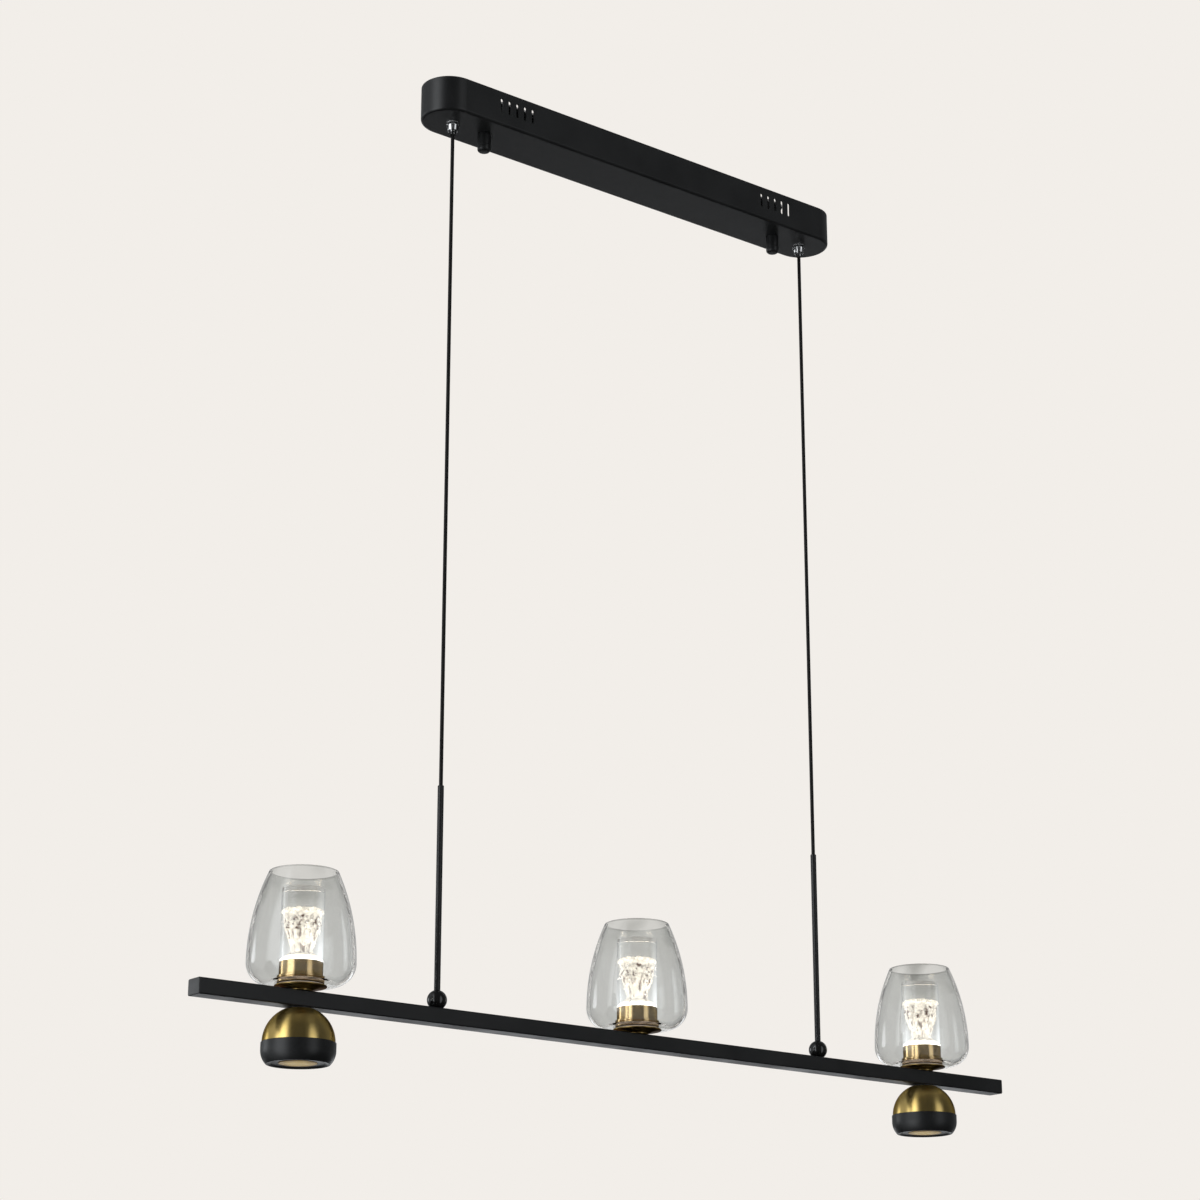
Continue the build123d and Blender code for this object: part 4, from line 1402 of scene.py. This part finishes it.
@dataclass
class DownwardSpot(Assembly):
    """Brass dome over a black bezel with a lens in its mouth.

    Attributes:
        dome_wall: Wall of the dome.
        crown: Radius of the dome's flat top.
        crown_thickness: Thickness of the flat top.
        thread: Radius of the threaded tube that holds it.
        spigot: Height of the bezel's part inside the dome.
        spigot_wall: Wall of that part.
        clearance: Gap between pieces that fit into each other.
        band: Straight part of the bezel's side.
        rim: Radius of the bezel's lower rim.
        lip: Width of the lower rim.
        recess: Radius and depth of the shallow mouth.
        throat: Radius of the opening for the lens.
        land: Thickness of the metal under the lens.
        lens_ledge: Width of the shelf under the lens.
        source_height: Height of the light source under its module.
        edge: Rounding of the bezel's edges.
    """

    dome_wall: float = 0.0015
    crown: float = 0.014
    crown_thickness: float = 0.002
    thread: float = 0.00505
    spigot: float = 0.004
    spigot_wall: float = 0.0024
    clearance: float = 0.0001
    band: float = 0.007
    rim: float = 0.029
    lip: float = 0.0015
    recess: Span = (0.0245, 0.0012)
    throat: float = 0.0175
    land: float = 0.0006
    lens_ledge: float = 0.0022
    source_height: float = 0.0006
    edge: float = 0.0005

    def build(self) -> None:
        """Make the dome and the bezel."""
        self.dome()
        self.bezel()

    def dome(self) -> None:
        """Make the spun dome."""
        fit = self.fit("spot_dome")
        middle = (0.0, fit.low)
        inner = fit.radius - self.dome_wall
        roof = fit.high - self.crown_thickness
        outer_top = math.degrees(math.acos(self.crown / fit.radius))
        inner_top = math.degrees(math.asin((roof - fit.low) / inner))
        corners = [
            *arc(middle, fit.radius, 0.0, outer_top, steps=40),
            Corner(self.thread, fit.high),
            Corner(self.thread, roof),
            *arc(middle, inner, inner_top, 0.0, steps=24),
        ]
        self.turn("brass_dome", corners, fit, Slot.BRASS, sides=160)

    def bezel(self) -> None:
        """Make the bezel: spigot, straight band, rounded side and shallow mouth."""
        fit = self.fit("spot_bezel")
        seam = fit.high - self.spigot
        dome_bore = self.fit("spot_dome").radius - self.dome_wall
        spigot = math.sqrt(dome_bore**2 - self.spigot**2) - self.clearance
        bore = spigot - self.spigot_wall
        recess, recess_depth = self.recess
        ring = fit.low + recess_depth
        lens_shelf = ring + self.land
        lens_bore = self.throat + self.lens_ledge
        module_shelf = self.fit("spot_module").low + self.source_height
        bend, sweep = bow(fit.radius - self.rim, seam - self.band - fit.low)
        side = (fit.radius - bend, seam - self.band)
        corners = [
            Corner(bore, fit.high),
            Corner(spigot, fit.high),
            Corner(spigot, seam),
            Corner(fit.radius, seam, self.edge),
            *arc(side, bend, 0.0, -sweep, steps=20)[:-1],
            Corner(self.rim, fit.low, self.edge),
            Corner(self.rim - self.lip, fit.low, self.edge),
            Corner(recess, ring, self.edge),
            Corner(self.throat, ring, self.edge / 2),
            Corner(self.throat, lens_shelf),
            Corner(lens_bore, lens_shelf),
            Corner(lens_bore, module_shelf),
            Corner(bore, module_shelf),
        ]
        self.turn("black_bezel", corners, fit, Slot.SATIN_BLACK, sides=160)


@dataclass(frozen=True)
class SoftPanel:
    """Soft bright panel of the room that shiny pieces mirror.

    Attributes:
        heading: Direction of the panel, in degrees from +X towards +Y.
        brightness: Brightness of its middle.
        full: Half angle in degrees that is fully bright.
        fade: Half angle in degrees at which it ends.
        tallness: How far it is stretched upwards.
        lift: Degrees that its middle lies above the horizon.
    """

    heading: float
    brightness: float
    full: float = 4.0
    fade: float = 17.0
    tallness: float = 3.0
    lift: float = 0.0

    def glow(self, graph: Graph, way: Socket) -> Socket:
        """Give the panel's brightness in a direction.

        Args:
            graph: Graph of the world.
            way: Direction that is looked in.

        Returns:
            Value output.
        """
        squat = (1.0, 1.0, 1 / self.tallness)
        unit = graph.vectors("NORMALIZE", "Vector", graph.vectors("MULTIPLY", "Vector", way, squat))
        angle = math.radians(self.heading)
        rise = math.tan(math.radians(self.lift)) / self.tallness
        aim = Vector((math.cos(angle), math.sin(angle), rise)).normalized()
        ends = (math.cos(math.radians(self.fade)), math.cos(math.radians(self.full)))
        facing = graph.vectors("DOT_PRODUCT", "Value", unit, aim)
        return graph.ease(facing, *ends, 0.0, self.brightness)


@dataclass(frozen=True)
class Softbox:
    """Rectangular studio light.

    Attributes:
        name: Name of the light.
        position: Where it stands.
        width: Width and height.
        power: Power in watts.
    """

    name: str
    position: tuple[float, float, float]
    width: float
    power: float

    def build(self, target: Vector) -> None:
        """Put up the light, unseen itself.

        Args:
            target: Where it points.
        """
        data = bpy.data.lights.new(self.name, "AREA")
        data.size = self.width
        data.energy = self.power
        light = show(self.name, data)
        light.location = self.position
        light.rotation_euler = (target - light.location).to_track_quat("-Z", "Y").to_euler()
        light.visible_camera = False
        light.visible_glossy = False
        light.visible_transmission = False
        log.info("light %s", self.name)


@dataclass
class Studio:
    """Camera, pale surroundings, floor and lights.

    Attributes:
        eye: Place of the camera.
        yaw: Degrees that the view turns from +Y towards +X.
        pitch: Degrees that the view looks up.
        lens: Focal length in millimetres.
        sensor: Width of the square frame in millimetres.
        pale: Colour of the backdrop.
        ahead: Brightness of the mirrored backdrop, over how far it lies ahead of the camera.
        ground: Share of that brightness, over the height that is looked at.
        tint: Colour of the mirrored room.
        panels: Bright panels that shiny pieces mirror.
        softboxes: Lights.
        floor_level: Height of the floor, a room's height below the ceiling.
        floor_reach: Half the floor's width.
        floor_clouds: Clouds of tone in a metre of floor.
        floor_tones: Darker and lighter colour of the floor.
    """

    eye: tuple[float, float, float] = (-1.7237, -2.1491, -1.4098)
    yaw: float = 37.97
    pitch: float = 18.10
    lens: float = 84.0
    sensor: float = 36.0
    pale: Colour = (0.888, 0.855, 0.815, 1.0)
    ahead: Ease = (-0.1, 0.95, 0.09, 0.30)
    ground: Ease = (-0.42, -0.18, 0.1, 1.0)
    tint: tuple[float, float, float] = (0.97, 1.0, 1.03)
    panels: tuple[SoftPanel, ...] = (
        SoftPanel(heading=182.0, brightness=2.8, full=9.0, fade=26.0),
        SoftPanel(heading=158.0, brightness=0.5, full=26.0, fade=46.0),
        SoftPanel(heading=-76.0, brightness=1.3, full=6.0, fade=18.0),
        SoftPanel(heading=119.0, brightness=3.4, fade=11.0, tallness=1.2, lift=6.0),
        SoftPanel(heading=52.0, brightness=1.4, full=15.0, fade=30.0, tallness=0.22, lift=-5.0),
    )
    softboxes: tuple[Softbox, ...] = (
        Softbox("left_softbox", (-2.7, -0.4, -0.6), width=1.6, power=24.0),
        Softbox("right_softbox", (0.3, -2.7, -0.6), width=1.6, power=16.0),
        Softbox("top_softbox", (0.4, 0.6, 1.6), width=2.0, power=30.0),
    )
    floor_level: float = -3.0
    floor_reach: float = 30.0
    floor_clouds: float = 0.6
    floor_tones: tuple[Colour, Colour] = (grey(0.80, 0.02), grey(0.84, 0.02))

    def aim_camera(self) -> None:
        """Make the camera at the photograph's viewing angle."""
        data = bpy.data.cameras.new("camera")
        data.lens = self.lens
        data.sensor_width = self.sensor
        camera = show("camera", data)
        camera.location = self.eye
        camera.rotation_euler = (math.radians(90.0 + self.pitch), 0.0, math.radians(-self.yaw))
        bpy.context.scene.camera = camera
        bpy.context.scene.view_settings.view_transform = "Standard"

    def build(self) -> None:
        """Set up the surroundings, the floor and the lights."""
        self.surround()
        self.floor()
        for softbox in self.softboxes:
            softbox.build((cad_box[0] + cad_box[1]) / 2)

    def surround(self) -> None:
        """Make the pale backdrop, with a dimmer room for what shiny pieces mirror."""
        world = bpy.data.worlds.new("studio")
        bpy.context.scene.world = world
        world.use_nodes = True
        world.cycles.sampling_method = "NONE"
        graph = Graph(world.node_tree, "Background")
        graph.shade({"Color": self.pale})
        plain = graph.shader.outputs["Background"]
        room = graph.add("Background", "Background", {"Color": self.room(graph)})
        mixed = graph.add("MixShader", "Shader", {0: self.mirroring(graph), 1: plain, 2: room})
        graph.fill(world.node_tree.nodes["World Output"], {"Surface": mixed})

    def mirroring(self, graph: Graph) -> Socket:
        """Tell light that a piece has mirrored from light that only went through glass.

        Light that is turned back inside one wall of glass, after going in and before coming
        out again, counts as light that only went through it.

        Args:
            graph: Graph of the world.

        Returns:
            Value output, zero or less for light that only went through glass.
        """
        into_and_out, walls, nearly = 2.0, 4.0, 0.5
        passes = graph.sums("MODULO", graph.add("LightPath", "Transmission Depth"), walls)
        inside = graph.sums("COMPARE", passes, into_and_out, nearly)
        return graph.sums("MULTIPLY_ADD", inside, -walls, graph.add("LightPath", "Glossy Depth"))

    def room(self, graph: Graph) -> Socket:
        """Describe the room: a backdrop ahead, a dim floor and bright panels.

        Args:
            graph: Graph of the world.

        Returns:
            Colour output.
        """
        way = graph.add("TexCoord", "Generated")
        ahead = (math.sin(math.radians(self.yaw)), math.cos(math.radians(self.yaw)), 0.0)
        backdrop = graph.ease(graph.vectors("DOT_PRODUCT", "Value", way, ahead), *self.ahead)
        ground = graph.ease(graph.along(way, "Z"), *self.ground)
        light = graph.sums("MULTIPLY", backdrop, ground)
        for panel in self.panels:
            light = graph.sums("ADD", light, panel.glow(graph, way))
        tinted = {0: self.tint, "Scale": light}
        return graph.add("VectorMath", "Vector", tinted, operation="SCALE")

    def floor(self) -> None:
        """Lay the plain pale floor."""
        mesh = bmesh.new()
        bmesh.ops.create_grid(mesh, x_segments=8, y_segments=8, size=self.floor_reach)
        floor = show("floor", cast("floor", mesh))
        floor.location.z = self.floor_level
        floor.visible_glossy = False
        material = bpy.data.materials.new("pale_floor")
        material.use_nodes = True
        graph = Graph(material.node_tree, "Principled BSDF")
        cloud = graph.noise(graph.place(), self.floor_clouds)
        tone = graph.ramp(cloud, *zip(NOISE_SPAN, self.floor_tones))
        graph.shade({"Base Color": tone, "Roughness": 0.8})
        floor.data.materials.append(material)


def dress_frame() -> None:
    """Give every frame node the finish of its slot."""
    for part in frame["record"]["subparts"]:
        finish = FINISHES[Slot(part["material_slot"])]
        for holder in frame["nodes"][part["node"]].material_slots:
            holder.material = finish.material()
        log.info("%s: %s", part["node"], finish.slot.value)


def main() -> None:
    """Build the light and its studio in order."""
    logging.basicConfig(level=logging.INFO, format="%(message)s")
    studio = Studio()
    studio.aim_camera()
    for place in ENDS:
        SuspensionCable(place).build()
    dress_frame()
    for place in ENDS:
        CanopyEnd(place).build()
    for place in ENDS:
        Hanger(place).build()
    for place in Place:
        UpwardLamp(place).build()
    for place in ENDS:
        DownwardSpot(place).build()
    studio.build()


if __name__ == "__main__":
    main()
